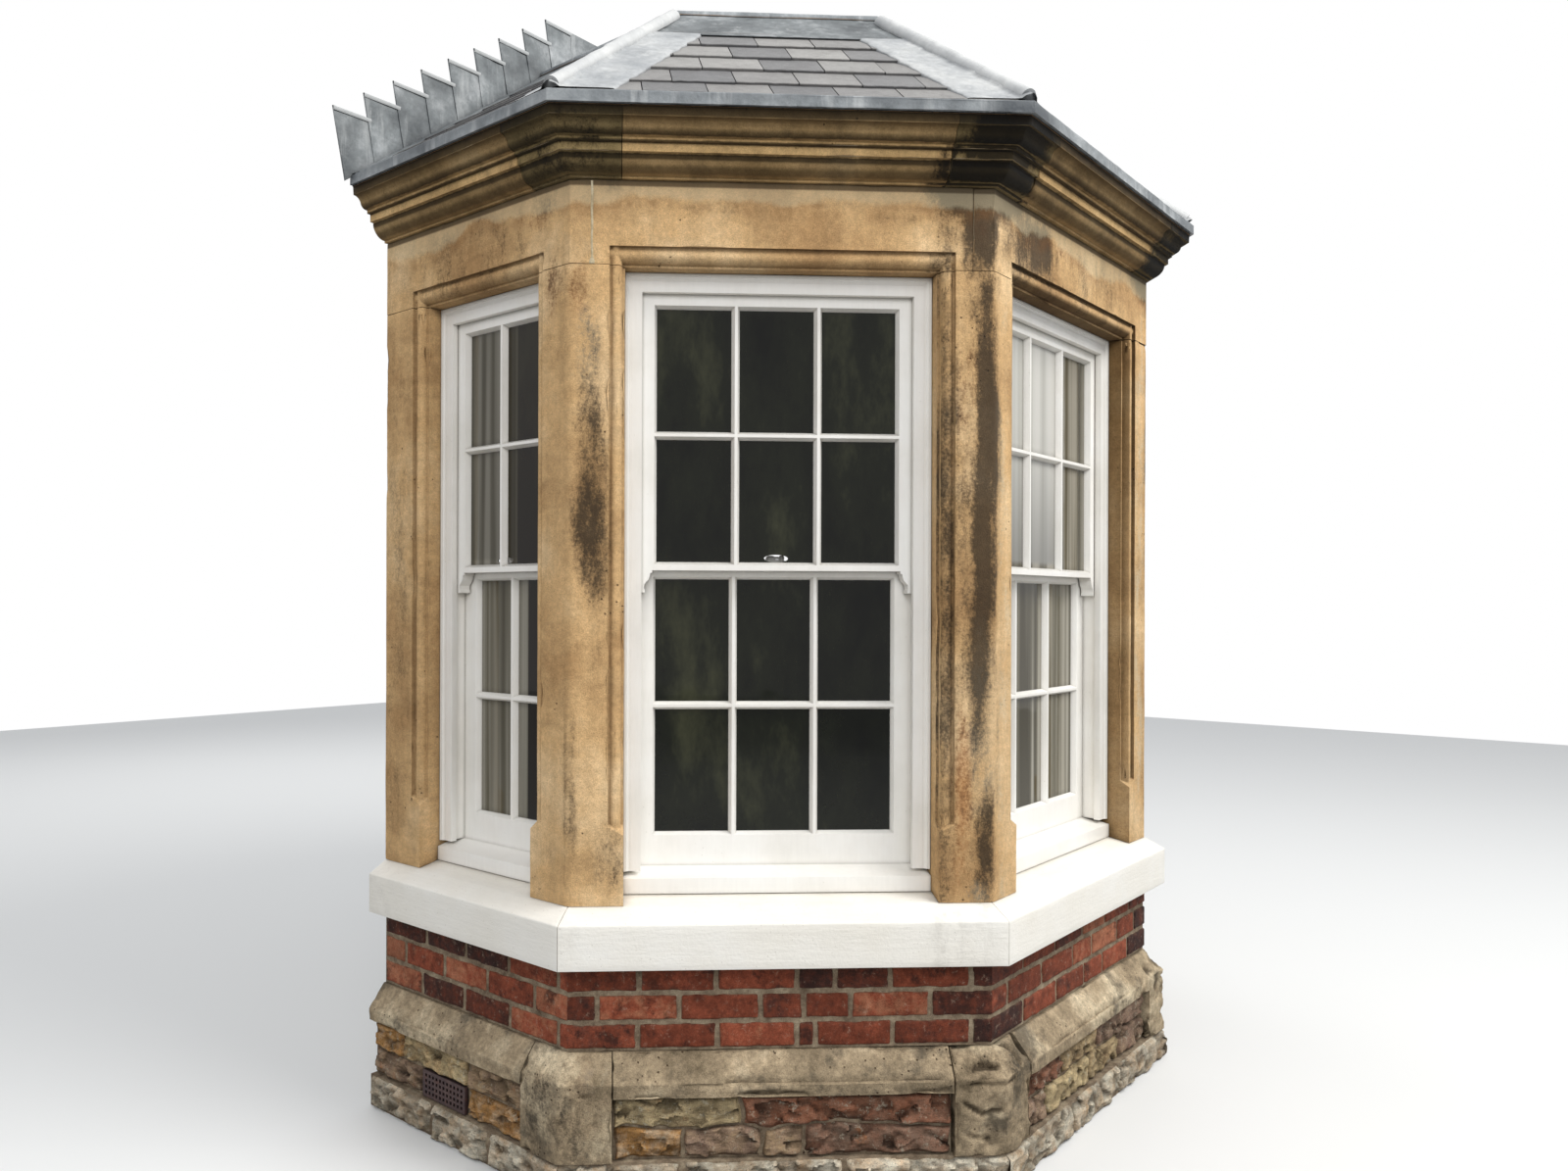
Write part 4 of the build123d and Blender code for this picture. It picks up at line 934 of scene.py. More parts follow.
class Blocks:
    """Nets of quads on the faces of the bay, gathered into one mesh, each with its own tint."""

    def __init__(self):
        self.points, self.quads, self.count = [], [], 0
        self.layers = {"tint": [], "edge": [], "relief": []}

    def grid(self, rows, tint, edge=0.0, relief=0.5, flip=False):
        """A net over rows of points, flipped where it would look inwards."""
        rows = np.array(rows)[:, ::-1] if flip else np.array(rows)
        index = np.arange(rows.shape[0] * rows.shape[1]).reshape(rows.shape[:2]) + self.count
        quads = np.stack([index[:-1, :-1], index[:-1, 1:], index[1:, 1:], index[1:, :-1]], -1)
        self.points.append(rows.reshape(-1, 3))
        self.quads.append(quads.reshape(-1, 4))
        self.layers["tint"].append(np.tile(np.append(tint, 1.0), (index.size, 1)))
        self.layers["edge"].append(np.broadcast_to(edge, index.size))
        self.layers["relief"].append(np.broadcast_to(relief, index.size))
        self.count += index.size

    def block(
        self, face, u, z, seed, wrap=(False, False), tint=None,
        *, out, edge, drop, rough, size, step, ragged, rock=0.0,
    ):
        """One block over the lengths u and heights z, its edges rounded back by drop."""
        rng = np.random.default_rng(seed)
        us = spread(*u, edge, step, not wrap[0], not wrap[1])
        zs = spread(*z, edge, step, True, True)
        ug, zg = (v.ravel() for v in np.meshgrid(us, zs))
        start = face.points(np.column_stack([ug, np.full_like(ug, out), zg]))
        du = np.minimum(ug - u[0] + FAR * wrap[0], u[1] - ug + FAR * wrap[1])
        dz = np.minimum(zg - z[0], z[1] - zg)
        shift = ragged * fbm(start, size, seed + 3)
        du, dz = du + shift * (du > 1e-6), dz + shift * (dz > 1e-6)
        fall = np.clip(1 - du / edge, 0, 1) ** 2.2 + np.clip(1 - dz / edge, 0, 1) ** 2.2
        w = out - drop * np.clip(fall, 0, 1) - rough * (0.5 - 0.5 * fbm(start, size, seed))
        relief, crooked = 0.5, 0.0
        if rock:
            relief = facets(ug, zg, start, rng)
            w = w - rock * (1 - relief) * np.clip(1.4 - fall, 0, 1)
            if 0 < face.index < 4:
                crooked = np.clip((zg - RUBBLE_FOOT) / STRAIGHTENS, 0, 1)
                crooked = crooked * np.clip((RUBBLE_TOP - zg) / STRAIGHTENS, 0, 1)
        share = (ug - u[0]) / (u[1] - u[0])
        ug = ug - w * TURN * (1 - share) * wrap[0]
        ug = ug + w * TURN * share * wrap[1]
        drawn = rng.random(3)
        if tint is not None:
            drawn[0] = tint
        ug = ug + 0.022 * crooked * fbm(start, 0.11, 311, 2)
        zg = zg + 0.026 * crooked * fbm(start, 0.13, 312, 2)
        rows = face.points(np.column_stack([ug, w, zg])).reshape(len(zs), len(us), 3)
        self.grid(rows, drawn, np.clip(fall * 2, 0, 1), relief)

    def finish(self, name, slot, sharp=50, material=None, replaces=()):
        mesh = bpy.data.meshes.new(name)
        mesh.from_pydata(np.concatenate(self.points).tolist(), [], np.concatenate(self.quads).tolist())
        colors = mesh.color_attributes.new("tint", "FLOAT_COLOR", "POINT")
        colors.data.foreach_set("color", np.concatenate(self.layers["tint"]).ravel())
        for kind in ("edge", "relief"):
            layer = mesh.attributes.new(kind, "FLOAT", "POINT")
            layer.data.foreach_set("value", np.concatenate(self.layers[kind]))
        add_piece(name, mesh, material or slot, sharp, replaces)


def core(name, face, fronts, depth):
    """The node's own solid with its outer faces set back, for the mortar and the inside."""
    bm = clean_copy(name)
    for vert in bm.verts:
        xy = np.array(vert.co[:2]) - face.start
        u, w = xy @ face.along, xy @ face.out
        if min(abs(w - front) for front in fronts) < 0.001:
            if face.index > 0 and abs(u + w * TURN) < 0.002:
                u += depth * TURN
            if face.index < 4 and abs(u - face.length - w * TURN) < 0.002:
                u -= depth * TURN
            vert.co = face.point(u, w - depth, vert.co.z)
    mesh = mesh_from(bm, name + "_core")
    add_piece(name + "_core", mesh, "mortar", replaces=[name])
    inner_faces(mesh)


def laid(face, row, joint):
    """The spans between the joints of a row. A block at a corner of the bay runs round it."""
    for left, right in zip(row, row[1:]):
        wrap = (left == 0 and face.index > 0, abs(right - face.length) < 1e-4 and face.index < 4)
        yield (left if wrap[0] else left + joint, right if wrap[1] else right - joint), wrap


def mirrored(rows, length):
    """The joints of rows seen in a mirror."""
    return [[round(length - x, 4) for x in reversed(row)] for row in rows]


# Joints of the three brick courses along each face, from the bottom course up
RETURN_BRICKS = [
    [0, 0.210, 0.429, 0.648, 0.862, RETURN],
    [0, 0.118, 0.325, 0.542, 0.759, RETURN],
    [0, 0.231, 0.435, 0.641, 0.861, RETURN],
]
CANT_BRICKS = [
    [0, 0.205, 0.438, 0.671, 0.725, 0.953, 1.189, CANT],
    [0, 0.087, 0.326, 0.564, 0.690, 0.829, 1.067, CANT],
    [0, 0.208, 0.433, 0.670, 0.783, 0.946, 1.188, CANT],
]
FRONT_BRICKS = [
    [0, 0.220, 0.470, 0.701, 0.867, 1.105, FRONT],
    [0, 0.109, 0.356, 0.605, 0.770, 1.005, 1.176, FRONT],
    [0, 0.219, 0.460, 0.688, 0.890, 1.122, FRONT],
]
BRICK_ROWS = [RETURN_BRICKS, CANT_BRICKS, FRONT_BRICKS, mirrored(CANT_BRICKS, CANT), mirrored(RETURN_BRICKS, RETURN)]
# How light the bricks of the cant and those at its corner with the front are, course by course
BRICK_TINTS = {
    LEFT_CANT: [
        [0.42, 0.55, 0.68, 0.36, 0.58, 0.42, 0.05],
        [0.32, 0.82, 0.62, 0.36, 0.52, 0.86, 0.22],
        [0.44, 0.46, 0.60, 0.08, 0.24, 0.54, 0.14],
    ],
    FRONT_FACE: [[0.06], [0.40, 0.56], [0.34]],
}
COURSES = [(0.402, 0.4845), (0.4845, 0.568), (0.568, 0.654)]
JOINT, BRICK_SET_BACK = 0.0045, 0.006
BRICK = {"out": 0.0, "edge": 0.008, "drop": 0.012, "rough": 0.0025, "size": 0.03, "step": 0.012, "ragged": 0.004}
seeds = itertools.count(101)
for face, rows in zip(faces, BRICK_ROWS):
    core("brick_dado_" + face.name, face, [0.0], BRICK_SET_BACK)
    bricks = Blocks()
    for (low, high), row, tints in zip(COURSES, rows, BRICK_TINTS.get(face.index, [[]] * 3)):
        for (u, wrap), tint in itertools.zip_longest(laid(face, row, JOINT), tints):
            bricks.block(face, u, (low + JOINT, high - JOINT), next(seeds), wrap, tint, **BRICK)
    bricks.finish("bricks_" + face.name, "brick")

# Rubble between the corner stones in two rows, the upper one first, over a rough base course
RUBBLE_ROWS = [
    ([0.0, 0.165, 0.500, 0.771], [0.0, 0.270, 0.497, 0.771]),
    ([0.132, 0.497, 1.118], [0.132, 0.333, 0.560, 0.674, 1.118]),
    ([0.132, 0.410, 0.700, 1.152], [0.132, 0.300, 0.640, 0.900, 1.152]),
    ([0.132, 0.520, 0.760, 1.118], [0.132, 0.410, 0.690, 0.900, 1.118]),
    ([0.132, 0.403, 0.738, 0.903], [0.132, 0.406, 0.633, 0.903]),
]
BASE_ROWS = [
    [0, 0.34, 0.62, RETURN],
    [0, 0.33, 0.80, CANT],
    [0, 0.45, 0.86, FRONT],
    [0, 0.45, 0.92, CANT],
    [0, 0.28, 0.56, RETURN],
]
UPPER_TINTS, LOWER_TINTS, BASE_TINT = (0.56, 0.04), (0.82, 0.24, 0.30, 0.12), 0.95
RUBBLE_JOINT, RUBBLE_SET_BACK, LEAST_STONE = 0.006, 0.022, 0.03
GRILLE_GAP = 0.004
GRILLES = {0: (0.2775, 0.4925), 4: (RETURN - 0.4925, RETURN - 0.2775)}
RUBBLE = {"out": 0.050, "edge": 0.010, "drop": 0.016, "rough": 0.004, "size": 0.05, "step": 0.0055, "ragged": 0.010}
BASE = {"out": 0.075, "edge": 0.014, "drop": 0.020, "rough": 0.005, "size": 0.06, "step": 0.007, "ragged": 0.008}
for face, (upper, lower), base in zip(faces, RUBBLE_ROWS, BASE_ROWS):
    core("rubble_wall_" + face.name, face, [RUBBLE["out"], BASE["out"]], RUBBLE_SET_BACK)
    rubble = Blocks()
    for row, z, tints in ((lower, (0.110, 0.191), LOWER_TINTS), (upper, (0.199, 0.284), UPPER_TINTS)):
        tints = tints if face.index == LEFT_CANT else ()
        for ((left, right), _), tint in itertools.zip_longest(laid(face, row, RUBBLE_JOINT), tints):
            seed, spans = next(seeds), [(left, right)]
            if face.index in GRILLES and row is lower:
                a, b = GRILLES[face.index]
                spans = [(left, min(right, a - GRILLE_GAP)), (max(left, b + GRILLE_GAP), right)]
            for k, u in enumerate(spans):
                if u[1] - u[0] > LEAST_STONE:
                    rubble.block(face, u, z, seed + k * 999, tint=tint, rock=0.018, **RUBBLE)
    for u, wrap in laid(face, base, RUBBLE_JOINT):
        rubble.block(face, u, (0.0, 0.104), next(seeds), wrap, BASE_TINT, rock=0.020, **BASE)
    rubble.finish("rubble_" + face.name, "rubble")

# Pale pointing in the upright joints between the lintels, so far from the outer corners of the cants
LINTEL_JOINT, LINTEL_FOOT, LINTEL_TOP = 0.065, 2.683, 2.925
pointing = Blocks()
for face, middle in ((faces[1], LINTEL_JOINT), (faces[3], CANT - LINTEL_JOINT)):
    us, zs = np.meshgrid([-0.0045, -0.003, 0.0, 0.003, 0.0045], np.arange(LINTEL_FOOT, LINTEL_TOP, 0.006))
    ws = np.tile([-0.005, -0.0006, 0.0, -0.0006, -0.005], len(zs))
    bulb = 1 + 1.6 * np.exp(-(((zs - LINTEL_FOOT - 0.005) / 0.010) ** 2))
    us = middle + us * bulb + 0.0006 * np.sin(zs * 70 + middle * 9)
    points = face.points(np.column_stack([us.ravel(), ws, zs.ravel()]))
    pointing.grid(points.reshape(-1, 5, 3), np.zeros(3))
pointing.finish("lintel_pointing", "sandstone", 60, "pointing")

# ---------------------------------------------------------------- windows
JAMB, WALL_JAMB = 0.163, 0.195
STILE, BAR, SASH, FRAME = 0.065, 0.025, 0.044, 0.033
PUTTY, ROUND, PANE = 0.008, 0.004, 0.002
HEAD, MEETING, FOOT = 2.649, 1.825, 0.903
LAP, TOP_RAIL, MEETING_RAIL, BOTTOM_RAIL = 0.0255, 0.062, 0.051, 0.100
UPPER_FRONT, LOWER_FRONT, FASTENER_DEPTH = 0.114, 0.162, 0.184
COLUMNS = [2, 3, 3, 3, 2]


def opening(face):
    """Where the window opening of a face starts and ends."""
    left = WALL_JAMB if face.index == 0 else JAMB
    right = WALL_JAMB if face.index == 4 else JAMB
    return left, face.length - right


def panes(low, high, count):
    """The clear widths between bars."""
    width = (high - low - BAR * (count - 1)) / count
    return [(low + (width + BAR) * k, low + (width + BAR) * k + width) for k in range(count)]


class Timber:
    """Quads in a face's own coordinates, gathered and eased into one mesh."""

    def __init__(self):
        self.bm = bmesh.new()

    def polygon(self, face, corners):
        self.bm.faces.new([self.bm.verts.new(face.point(*c)) for c in corners])

    def sash(self, face, u, z, front, rails):
        """A sash over u and z, its face at depth front, with putty slopes round each pane."""
        back = front + SASH
        columns = panes(u[0] + STILE, u[1] - STILE, COLUMNS[face.index])
        rows = panes(z[0] + rails[0], z[1] - rails[1], 2)
        for depth, edge, flip in ((front, PUTTY, False), (back, ROUND, True)):
            us = [u[0], *(v for a, b in columns for v in (a - edge, b + edge)), u[1]]
            zs = [z[0], *(v for a, b in rows for v in (a - edge, b + edge)), z[1]]
            for i, (a, b) in enumerate(zip(us, us[1:])):
                for j, (c, d) in enumerate(zip(zs, zs[1:])):
                    if i % 2 == 0 or j % 2 == 0:
                        corners = [(a, -depth, c), (b, -depth, c), (b, -depth, d), (a, -depth, d)]
                        self.polygon(face, reversed(corners) if flip else corners)
        glass = (front + back) / 2
        for (a, b), (c, d) in itertools.product(columns, rows):
            for edge, depth, seat in ((PUTTY, front, glass - PANE), (ROUND, back, glass + PANE)):
                outer = [(a - edge, c - edge), (b + edge, c - edge), (b + edge, d + edge), (a - edge, d + edge)]
                outer = [(p, -depth, q) for p, q in outer]
                inner = [(p, -seat, q) for p, q in ((a, c), (b, c), (b, d), (a, d))]
                for k, m in ((0, 1), (1, 2), (2, 3), (3, 0)):
                    self.polygon(face, (outer[k], outer[m], inner[m], inner[k]))
        for side in (0, 1):
            self.polygon(face, [(u[side], -w, z[k]) for w, k in ((front, 0), (front, 1), (back, 1), (back, 0))])
            self.polygon(face, [(u[k], -w, z[side]) for w, k in ((front, 0), (front, 1), (back, 1), (back, 0))])

    def horn(self, face, edge, way):
        """The shaped end of an upper sash's stile, under its meeting rail."""
        line = [(edge + way * a, MEETING - LAP + b) for a, b in HORN_LINE]
        front, back = UPPER_FRONT, UPPER_FRONT + SASH
        for (a, b), (c, d) in zip(line, line[1:] + line[:1]):
            self.polygon(face, [(a, -front, b), (c, -front, d), (c, -back, d), (a, -back, b)])
        for depth in (front, back):
            self.polygon(face, [(a, -depth, b) for a, b in line])

    def finish(self, name):
        bmesh.ops.remove_doubles(self.bm, verts=self.bm.verts, dist=1e-5)
        bmesh.ops.recalc_face_normals(self.bm, faces=self.bm.faces)
        bevel_sharp(self.bm, 0.0008, 25)
        mesh = mesh_from(self.bm, name + "_painted")
        add_piece(name + "_painted", mesh, "white_paint", 40, [name])


HORN_LINE = [
    (0, 0), (0.052, 0), (0.052, -0.007), (0.046, -0.009), (0.0445, -0.018), (0.041, -0.028),
    (0.0335, -0.036), (0.0285, -0.043), (0.0275, -0.053), (0.030, -0.060), (0.030, -0.067), (0, -0.067),
]
upper, lower = Timber(), Timber()
for face in faces:
    name = "box_frame_" + face.name
    bm = clean_copy(name)
    bevel_sharp(bm, 0.0012, 40)
    add_piece(name + "_painted", mesh_from(bm, name + "_painted"), "white_paint", 40, [name])
    left, right = opening(face)
    u = (left + FRAME, right - FRAME)
    upper.sash(face, u, (MEETING - LAP, HEAD), UPPER_FRONT, (LAP, TOP_RAIL))
    upper.horn(face, u[0], 1)
    upper.horn(face, u[1], -1)
    lower.sash(face, u, (FOOT, MEETING), LOWER_FRONT, (BOTTOM_RAIL, MEETING_RAIL))
upper.finish("upper_sashes")
lower.finish("lower_sashes")

# The rounded lumps of a fastener: shift along, inwards and up, half its length, depth and height, and rings
LUMPS = [
    (0, 0, 0.004, 0.038, 0.013, 0.007, 10),
    (-0.0095, 0, 0.014, 0.015, 0.013, 0.009, 10),
    (0.004, 0.004, 0.016, 0.020, 0.005, 0.004, 10),
    (0.024, 0.004, 0.015, 0.009, 0.009, 0.009, 10),
    (-0.031, 0, 0.010, 0.005, 0.008, 0.004, 6),
]
bm = bmesh.new()
for face, (*shift, long, deep, high, rings) in itertools.product(faces, LUMPS):
    centre = np.array([sum(opening(face)) / 2, -FASTENER_DEPTH, MEETING]) + shift
    for vert in bmesh.ops.create_uvsphere(bm, u_segments=16, v_segments=rings, radius=1.0)["verts"]:
        swollen = np.array([math.copysign(abs(v) ** 0.75, v) for v in vert.co])
        vert.co = face.point(*(centre + swollen * (long, deep, high)))
bmesh.ops.recalc_face_normals(bm, faces=bm.faces)
add_piece("fasteners", mesh_from(bm, "fasteners"), "fastener_paint", 60, ["sash_fasteners"])

# ---------------------------------------------------------------- roof
EAVES_TOP, ROOF_TOP, SLATE_OUT = 3.123, 3.732, 0.137
ROOF_IN = [0.700, 0.640, 0.590, 0.640, 0.700]
GAUGE, SLATE_WIDTH, SLATE = 0.1565, 0.184, 0.008
FIRST_TAIL, SIDE_GAP, BOARDS_DROP = 0.122, 0.0015, 0.011
COURSE_OFFSETS = [0.020, 0.109, 0.023, 0.128, 0.040, 0.120]


def ring_point(corner, out):
    """Plan corner of a line drawn round the bay at that distance out."""
    here = np.array(CORNERS[corner])
    if corner in (0, 5):
        return here + faces[min(corner, 4)].out * out
    bisector = faces[corner - 1].out + faces[corner].out
    return here + bisector / np.linalg.norm(bisector) * out / math.cos(math.radians(22.5))


def hip_head(corner):
    """Plan corner of the flat top."""
    if corner in (0, 5):
        return ring_point(corner, -ROOF_IN[min(corner, 4)])
    one, two = faces[corner - 1].out, faces[corner].out
    turn = math.cos(math.radians(45))
    shift = (one - two * turn) * ROOF_IN[corner - 1] + (two - one * turn) * ROOF_IN[corner]
    return np.array(CORNERS[corner]) - shift / (1 - turn**2)


class Slope:
    """One slope: u along the eaves as on its face, s up the slope, h square to it."""

    def __init__(self, face):
        self.face = face
        rise, run = ROOF_TOP - EAVES_TOP, SLATE_OUT + ROOF_IN[face.index]
        self.pitch, self.length = math.atan2(rise, run), math.hypot(rise, run)
        self.foot = [self.along(ring_point(face.index + k, SLATE_OUT)) for k in (0, 1)]
        self.head = [self.along(hip_head(face.index + k)) for k in (0, 1)]

    def along(self, xy):
        return float((xy - self.face.start) @ self.face.along)

    def ends(self, s):
        """Where the hips or the wall bound the slope, at a distance up it."""
        share = s / self.length
        return tuple(a + (b - a) * share for a, b in zip(self.foot, self.head))

    def points(self, ush):
        u, s, h = np.asarray(ush, float).T
        w = SLATE_OUT - s * math.cos(self.pitch) + h * math.sin(self.pitch)
        z = EAVES_TOP + s * math.sin(self.pitch) + h * math.cos(self.pitch)
        return self.face.points(np.column_stack([u, w, z]))

    def net(self, rows, dent=0.0, size=1.0, seed=0):
        """Rows of places on the slope turned into points, with soft dents."""
        flat = np.concatenate(rows)
        if dent:
            flat[:, 2] += dent * fbm(self.points(flat), size, seed)
        return self.points(flat).reshape(len(rows), -1, 3)


def above_tail(s):
    """How far up its course of slates a place on a slope is, from 0 to 1."""
    return ((s - FIRST_TAIL) / GAUGE) % 1.0


def slate(blocks, slope, u0, u1, s0, s1, seed):
    """A slate with a slightly ragged tail. Its upper end lies a slate's thickness lower."""
    rng = np.random.default_rng(seed)
    tint = rng.random(3)
    tail = s0 + 0.0015 * rng.standard_normal(9) + rng.normal(0, 0.002)
    lift = rng.uniform(0, 0.0015)
    profile = [(tail, -SLATE - 0.002), (tail, -0.0005), (tail + 0.0015, 0.0012)]
    profile += [(tail + (s1 - tail) * share, 0.0012 - (SLATE + 0.001) * share) for share in (0.3, 0.6, 1.0)]
    rows = [np.column_stack([np.linspace(u0, u1, 9), s, np.full(9, h + lift)]) for s, h in profile]
    blocks.grid(slope.net(rows), tint)
    for side in (0, -1):
        edge = np.array([row[side] for row in rows])
        sides = np.stack([edge - (0, 0, SLATE + 0.002), edge], 1)
        blocks.grid(slope.net(sides), tint, flip=side < 0)


slopes = [Slope(face) for face in faces]
for slope in slopes:
    name = slope.face.name
    bm = clean_copy("slate_slope_" + name)
    for vert in bm.verts:
        inwards = SLATE_OUT - (np.array(vert.co[:2]) - slope.face.start) @ slope.face.out
        if abs((vert.co.z - EAVES_TOP) * math.cos(slope.pitch) - inwards * math.sin(slope.pitch)) < 0.001:
            vert.co.z -= BOARDS_DROP
    mesh = mesh_from(bm, "boards_" + name)
    add_piece("boards_" + name, mesh, "gap", replaces=["slate_slope_" + name])
    boards_under(mesh)
    slates = Blocks()
    tails = [0.0] + [FIRST_TAIL + GAUGE * k for k in range(6)]
    for s0, s1, offset in zip(tails, tails[1:], COURSE_OFFSETS):
        if s0 > slope.length - 0.05:
            break
        s1 = min(s1 + 0.03, slope.length - 0.005)
        (left, right), (top_left, top_right) = slope.ends(s0), slope.ends(s1)
        low, high = max(left, top_left), min(right, top_right)
        u = offset - SLATE_WIDTH * 4
        while u < high:
            seed = next(seeds)
            a, b = max(u + SIDE_GAP, low), min(u + SLATE_WIDTH - SIDE_GAP, high)
            if b - a > 0.02:
                slate(slates, slope, a, b, s0, s1, seed)
            u += SLATE_WIDTH
    slates.finish("slates_" + name, "slate", 30)

# ---------------------------------------------------------------- lead
ROLL, ROLL_LAP, APRON = 0.023, 0.0022, 0.265
WING_STEP, EDGE_STEP = 0.012, 0.015


def drip_folds(points, normals):
    """Crimps where the drip meets the wall, and a lap in each of its long sheets."""
    from_wall = WALL_Y - points[:, 1]
    depth = 0.004 * np.clip(1 - from_wall / 0.09, 0, 1) * (0.5 + 0.5 * np.sin(from_wall * 290))
    for face, lap in ((faces[1], 0.62), (faces[2], 1.00), (faces[3], 0.63)):
        along = face.local(points)[:, 0]
        facing = np.clip(normals[:, :2] @ face.out, 0, 1)
        depth += 0.0022 * facing * np.clip((along - lap) / 0.006, 0, 1) * np.clip((face.length - along) / 0.03, 0, 1)
    return depth


# Wear of the lead, which has soft dents and no chips, as for the stones
DRIP = 0.0015, (0.010, 0.012, 0.012), 0.003, 0.07, 0.0
APRON_SHEET = 0.0015, (None, 0.03, 0.03), 0.003, 0.09, 0.0
FLAT = 0.0015, (None, 0.04, 0.04), 0.003, 0.12, 0.0
worn_copy("lead_eaves_drip", "lead", DRIP, 61, extra=drip_folds)
worn_copy("lead_apron", "lead", APRON_SHEET, 62, material="lead_dull")
flat = worn_copy("lead_flat_roof", "lead", FLAT, 63)
boards_under(flat.data)

# Section of a hip's wing: distances from the hip and heights over the slates
WING_OUT = np.array([0.0, 0.018, 0.028, 0.045, 0.08, 0.115, 0.145, 0.165, 0.176, 0.180, 0.181])
WING_UP = np.array([0.018, 0.012, 0.004, 0.003, 0.0025, 0.002, 0.002, 0.0018, 0.001, -0.0015, -0.009])
# A third channel above 1 makes the hip rolls and the flashings' crests pale: pale patina with a painted highlight
ROLL_TINT, CREST_TINT = (0.8, 0.5, 1.45), (0.5, 0.5, 2.0)
hips = Blocks()
for corner in range(1, 5):
    for slope, side, way in ((slopes[corner], 0, 1), (slopes[corner - 1], 1, -1)):
        rows = []
        for s in np.arange(0.004, slope.length - APRON + 0.02, WING_STEP):
            wave = 0.0025 * math.sin(s * 40 + corner) + 0.002 * math.sin(s * 91 + side)
            us = slope.ends(s)[side] + way * (WING_OUT + wave * (WING_OUT / 0.18))
            rows.append(np.column_stack([us, np.full(11, s), WING_UP + 0.0035 - 0.003 * above_tail(s)]))
        tint = np.random.default_rng(corner).random(3)
        hips.grid(slope.net(rows, 0.0012, 0.06, 70 + corner), tint, flip=way < 0)
    foot = np.append(ring_point(corner, SLATE_OUT), EAVES_TOP)
    run = np.append(hip_head(corner), ROOF_TOP) - foot
    length = np.linalg.norm(run)
    run /= length
    across = np.cross(run, (0, 0, 1))
    across /= np.linalg.norm(across)
    up = np.cross(across, run)
    rows = []
    for s in np.arange(0.024, length - 0.02, WING_STEP):
        radius = ROLL * (1 + 0.03 * math.sin(s * 23) + 0.02 * math.sin(s * 57)) + ROLL_LAP * (s > 0.42 * length)
        turns = np.linspace(-0.3, math.pi + 0.3, 15)[::-1, None]
        rows.append(foot + run * s + up * 0.005 + (across * np.cos(turns) + up * np.sin(turns)) * radius)
    dents = fbm(np.concatenate(rows), 0.04, 80 + corner).reshape(-1, 15, 1)
    hips.grid(rows + 0.0010 * dents * up, ROLL_TINT)
    hips.grid([rows[0], np.tile(foot + run * 0.020 - up * 0.002, (15, 1))], np.zeros(3))
hips.finish("hips_dressed", "lead", 60, "lead_pale", ["lead_hips"])

# Stepped flashings: a sheet for each course of bricks, lapped over the one below
STEPS, STEP_RUN, STEP_RISE, STEP_LEAN, STEP_LAP = 9, 0.117, 0.080, 0.029, 0.012
LAST_STEP, OVER_FLAT = 0.86, 0.016
PEAKS = [(-0.215 + STEP_RUN * i, 3.331 + STEP_RISE * i) for i in range(STEPS)]
FEET = [(-0.168, 3.096)]
for x, z in PEAKS[1:]:
    x += STEP_LEAN + 0.014
    slope_top = EAVES_TOP + (SLATE_OUT + x) * math.tan(slopes[0].pitch)
    FEET.append((x, min(slope_top + 0.004, ROOF_TOP + OVER_FLAT)))
TOP, LONG_FOOT = PEAKS[-1][1], ROOF_TOP + 0.006
RIGHTS = [x + STEP_LEAN for x, _ in PEAKS[1:]] + [LAST_STEP]
BOTTOMS = FEET[1:] + [(LAST_STEP, ROOF_TOP + OVER_FLAT)]
# The folded crest of a sheet: distance out from the wall and height from its top
CREST = [(0.0072, -0.014), (0.0095, -0.011), (0.0098, -0.003), (0.006, 0.0), (0.0, 0.0)]
# Section of the turned-out edge that lies on the slates beside the wall
EDGE_OUT = np.array([0.0, 0.004, 0.03, 0.06, 0.085, 0.090, 0.0905])
EDGE_UP = np.array([0.012, 0.006, 0.004, 0.003, 0.003, 0.001, -0.007])
ACROSS, UP = 9, 12
PRESSED_OVER, PRESSED_IN = 0.94, 0.0045


def on_wall(side, x, z, w):
    """Points at x in from the side of the bay and w out of the wall."""
    x, z, w = np.broadcast_arrays(x, z, w)
    return np.stack([side * (HALF - x), WALL_Y - w, z], -1)


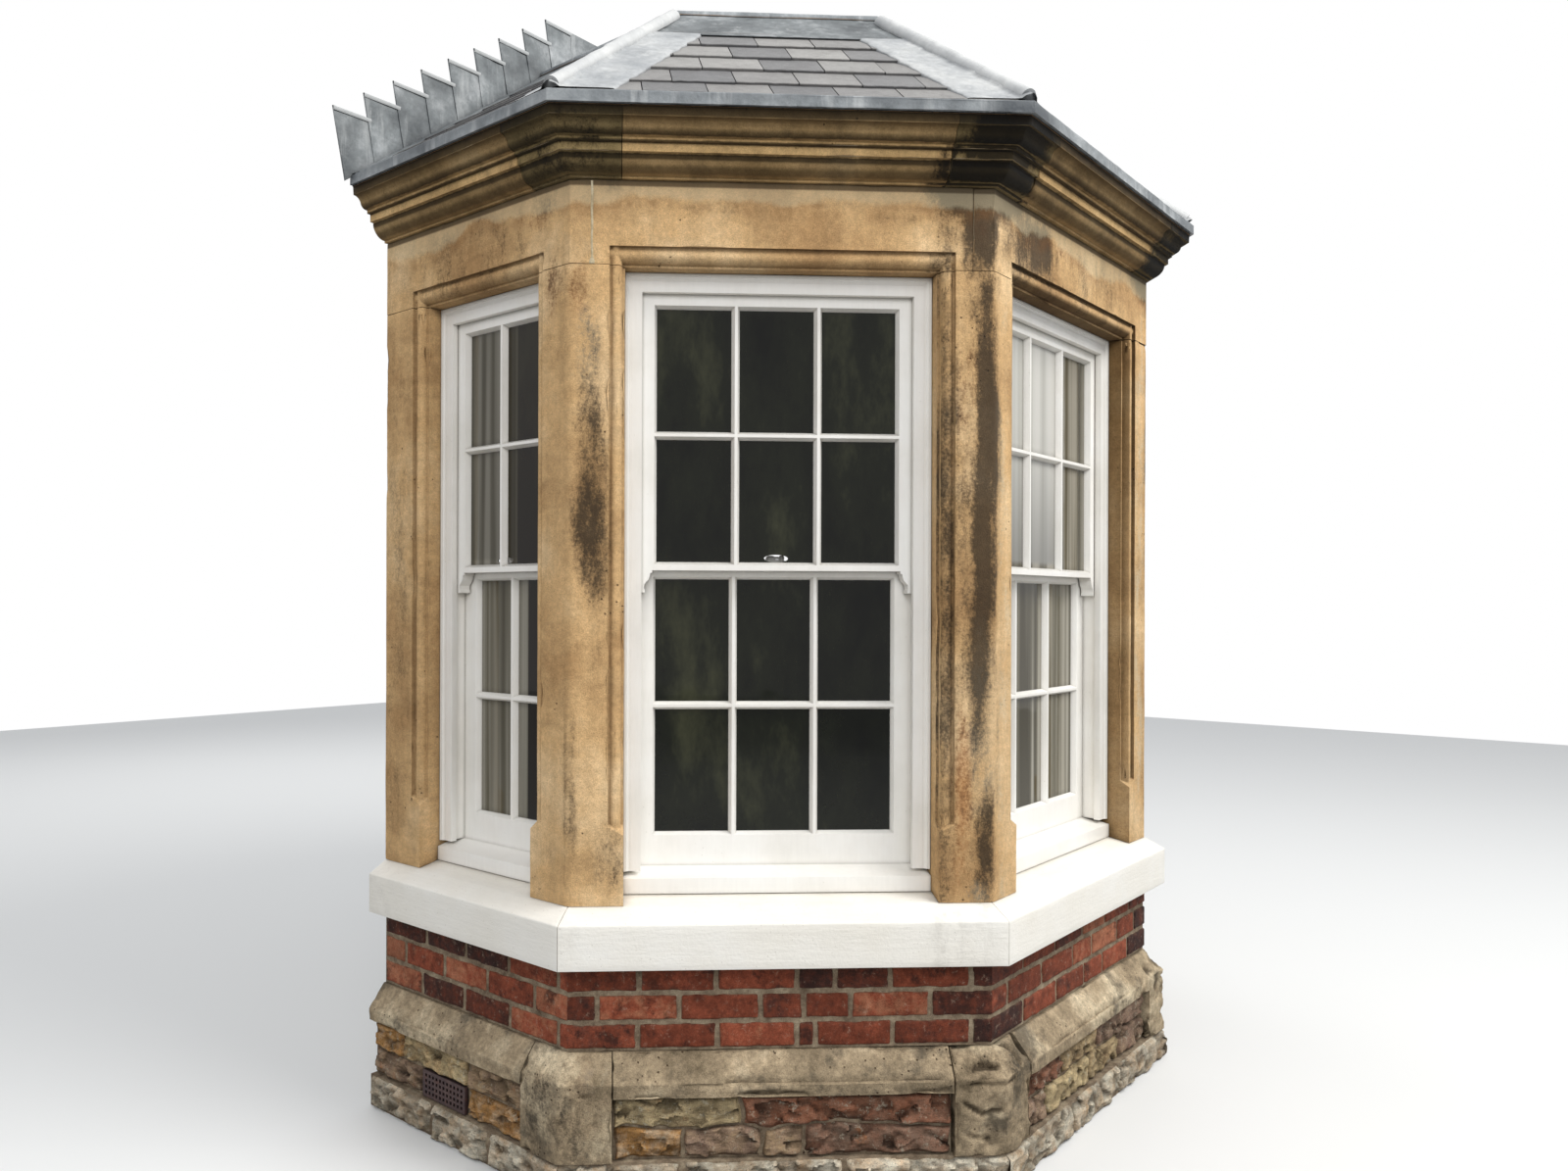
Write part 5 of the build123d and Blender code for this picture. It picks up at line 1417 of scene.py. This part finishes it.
flashings = Blocks()
for side in (-1, 1):
    flip = side > 0
    for i, ((x, z), (foot_x, foot_z), right, (end_x, end_z)) in enumerate(zip(PEAKS, FEET, RIGHTS, BOTTOMS)):
        s, t = np.meshgrid(np.linspace(0, 1, ACROSS), np.linspace(0, 1, UP))
        xs = (1 - s) * ((1 - t) * foot_x + t * x) + s * ((1 - t) * (end_x + STEP_LAP) + t * right)
        zs = (1 - s) * ((1 - t) * foot_z + t * z) + s * ((1 - t) * end_z + t * z)
        w = 0.0065 - 0.0035 * s + 0.003 * (1 - np.abs(2 * s - 1)) * (1 - t)
        w += 0.0022 * fbm(on_wall(side, xs, zs, w).reshape(-1, 3), 0.07, 90 + i).reshape(w.shape)
        w = np.maximum(w - PRESSED_IN * (np.clip(t - PRESSED_OVER, 0, 1) / (1 - PRESSED_OVER)) ** 2, 0.0003)
        tint = np.random.default_rng(400 + i).random(3)
        sheet = on_wall(side, xs, zs, w)
        flashings.grid(sheet, tint, flip=flip)
        behind = on_wall(side, np.linspace(foot_x, x, UP), np.linspace(foot_z, z, UP), 0.0)
        flashings.grid(np.stack([behind, sheet[:, 0]], 1), tint, flip=flip)
        crest = np.linspace(x, right, ACROSS)
        flashings.grid([on_wall(side, crest, z + lift, out) for out, lift in CREST], CREST_TINT, flip=flip)
    # The long sheet over the flat, up to the middle of the bay
    xs, t = np.meshgrid(np.linspace(LAST_STEP, HALF, 20), np.linspace(0, 1, 10))
    zs = LONG_FOOT + (TOP - LONG_FOOT) * t
    dents = fbm(on_wall(side, xs, zs, 0.0).reshape(-1, 3), 0.09, 120).reshape(zs.shape)
    flashings.grid(on_wall(side, xs, zs, 0.004 + 0.0015 * dents), np.random.default_rng(3).random(3), flip=flip)
    slope, start, way = (slopes[0], 0.0, 1) if side < 0 else (slopes[4], RETURN, -1)
    rows = []
    for s in np.arange(-0.004, slope.length - 0.005, EDGE_STEP):
        us = start + way * EDGE_OUT * (1 + 0.02 * math.sin(s * 31))
        rows.append(np.column_stack([us, np.full(7, s), EDGE_UP - 0.002 * above_tail(s)]))
    flashings.grid(slope.net(rows, 0.001, 0.05, 130), np.random.default_rng(8).random(3), flip=flip)
flashings.finish("flashings_dressed", "lead", 50, "lead_dull", ["stepped_flashings"])

scene.view_settings.view_transform = "Standard"
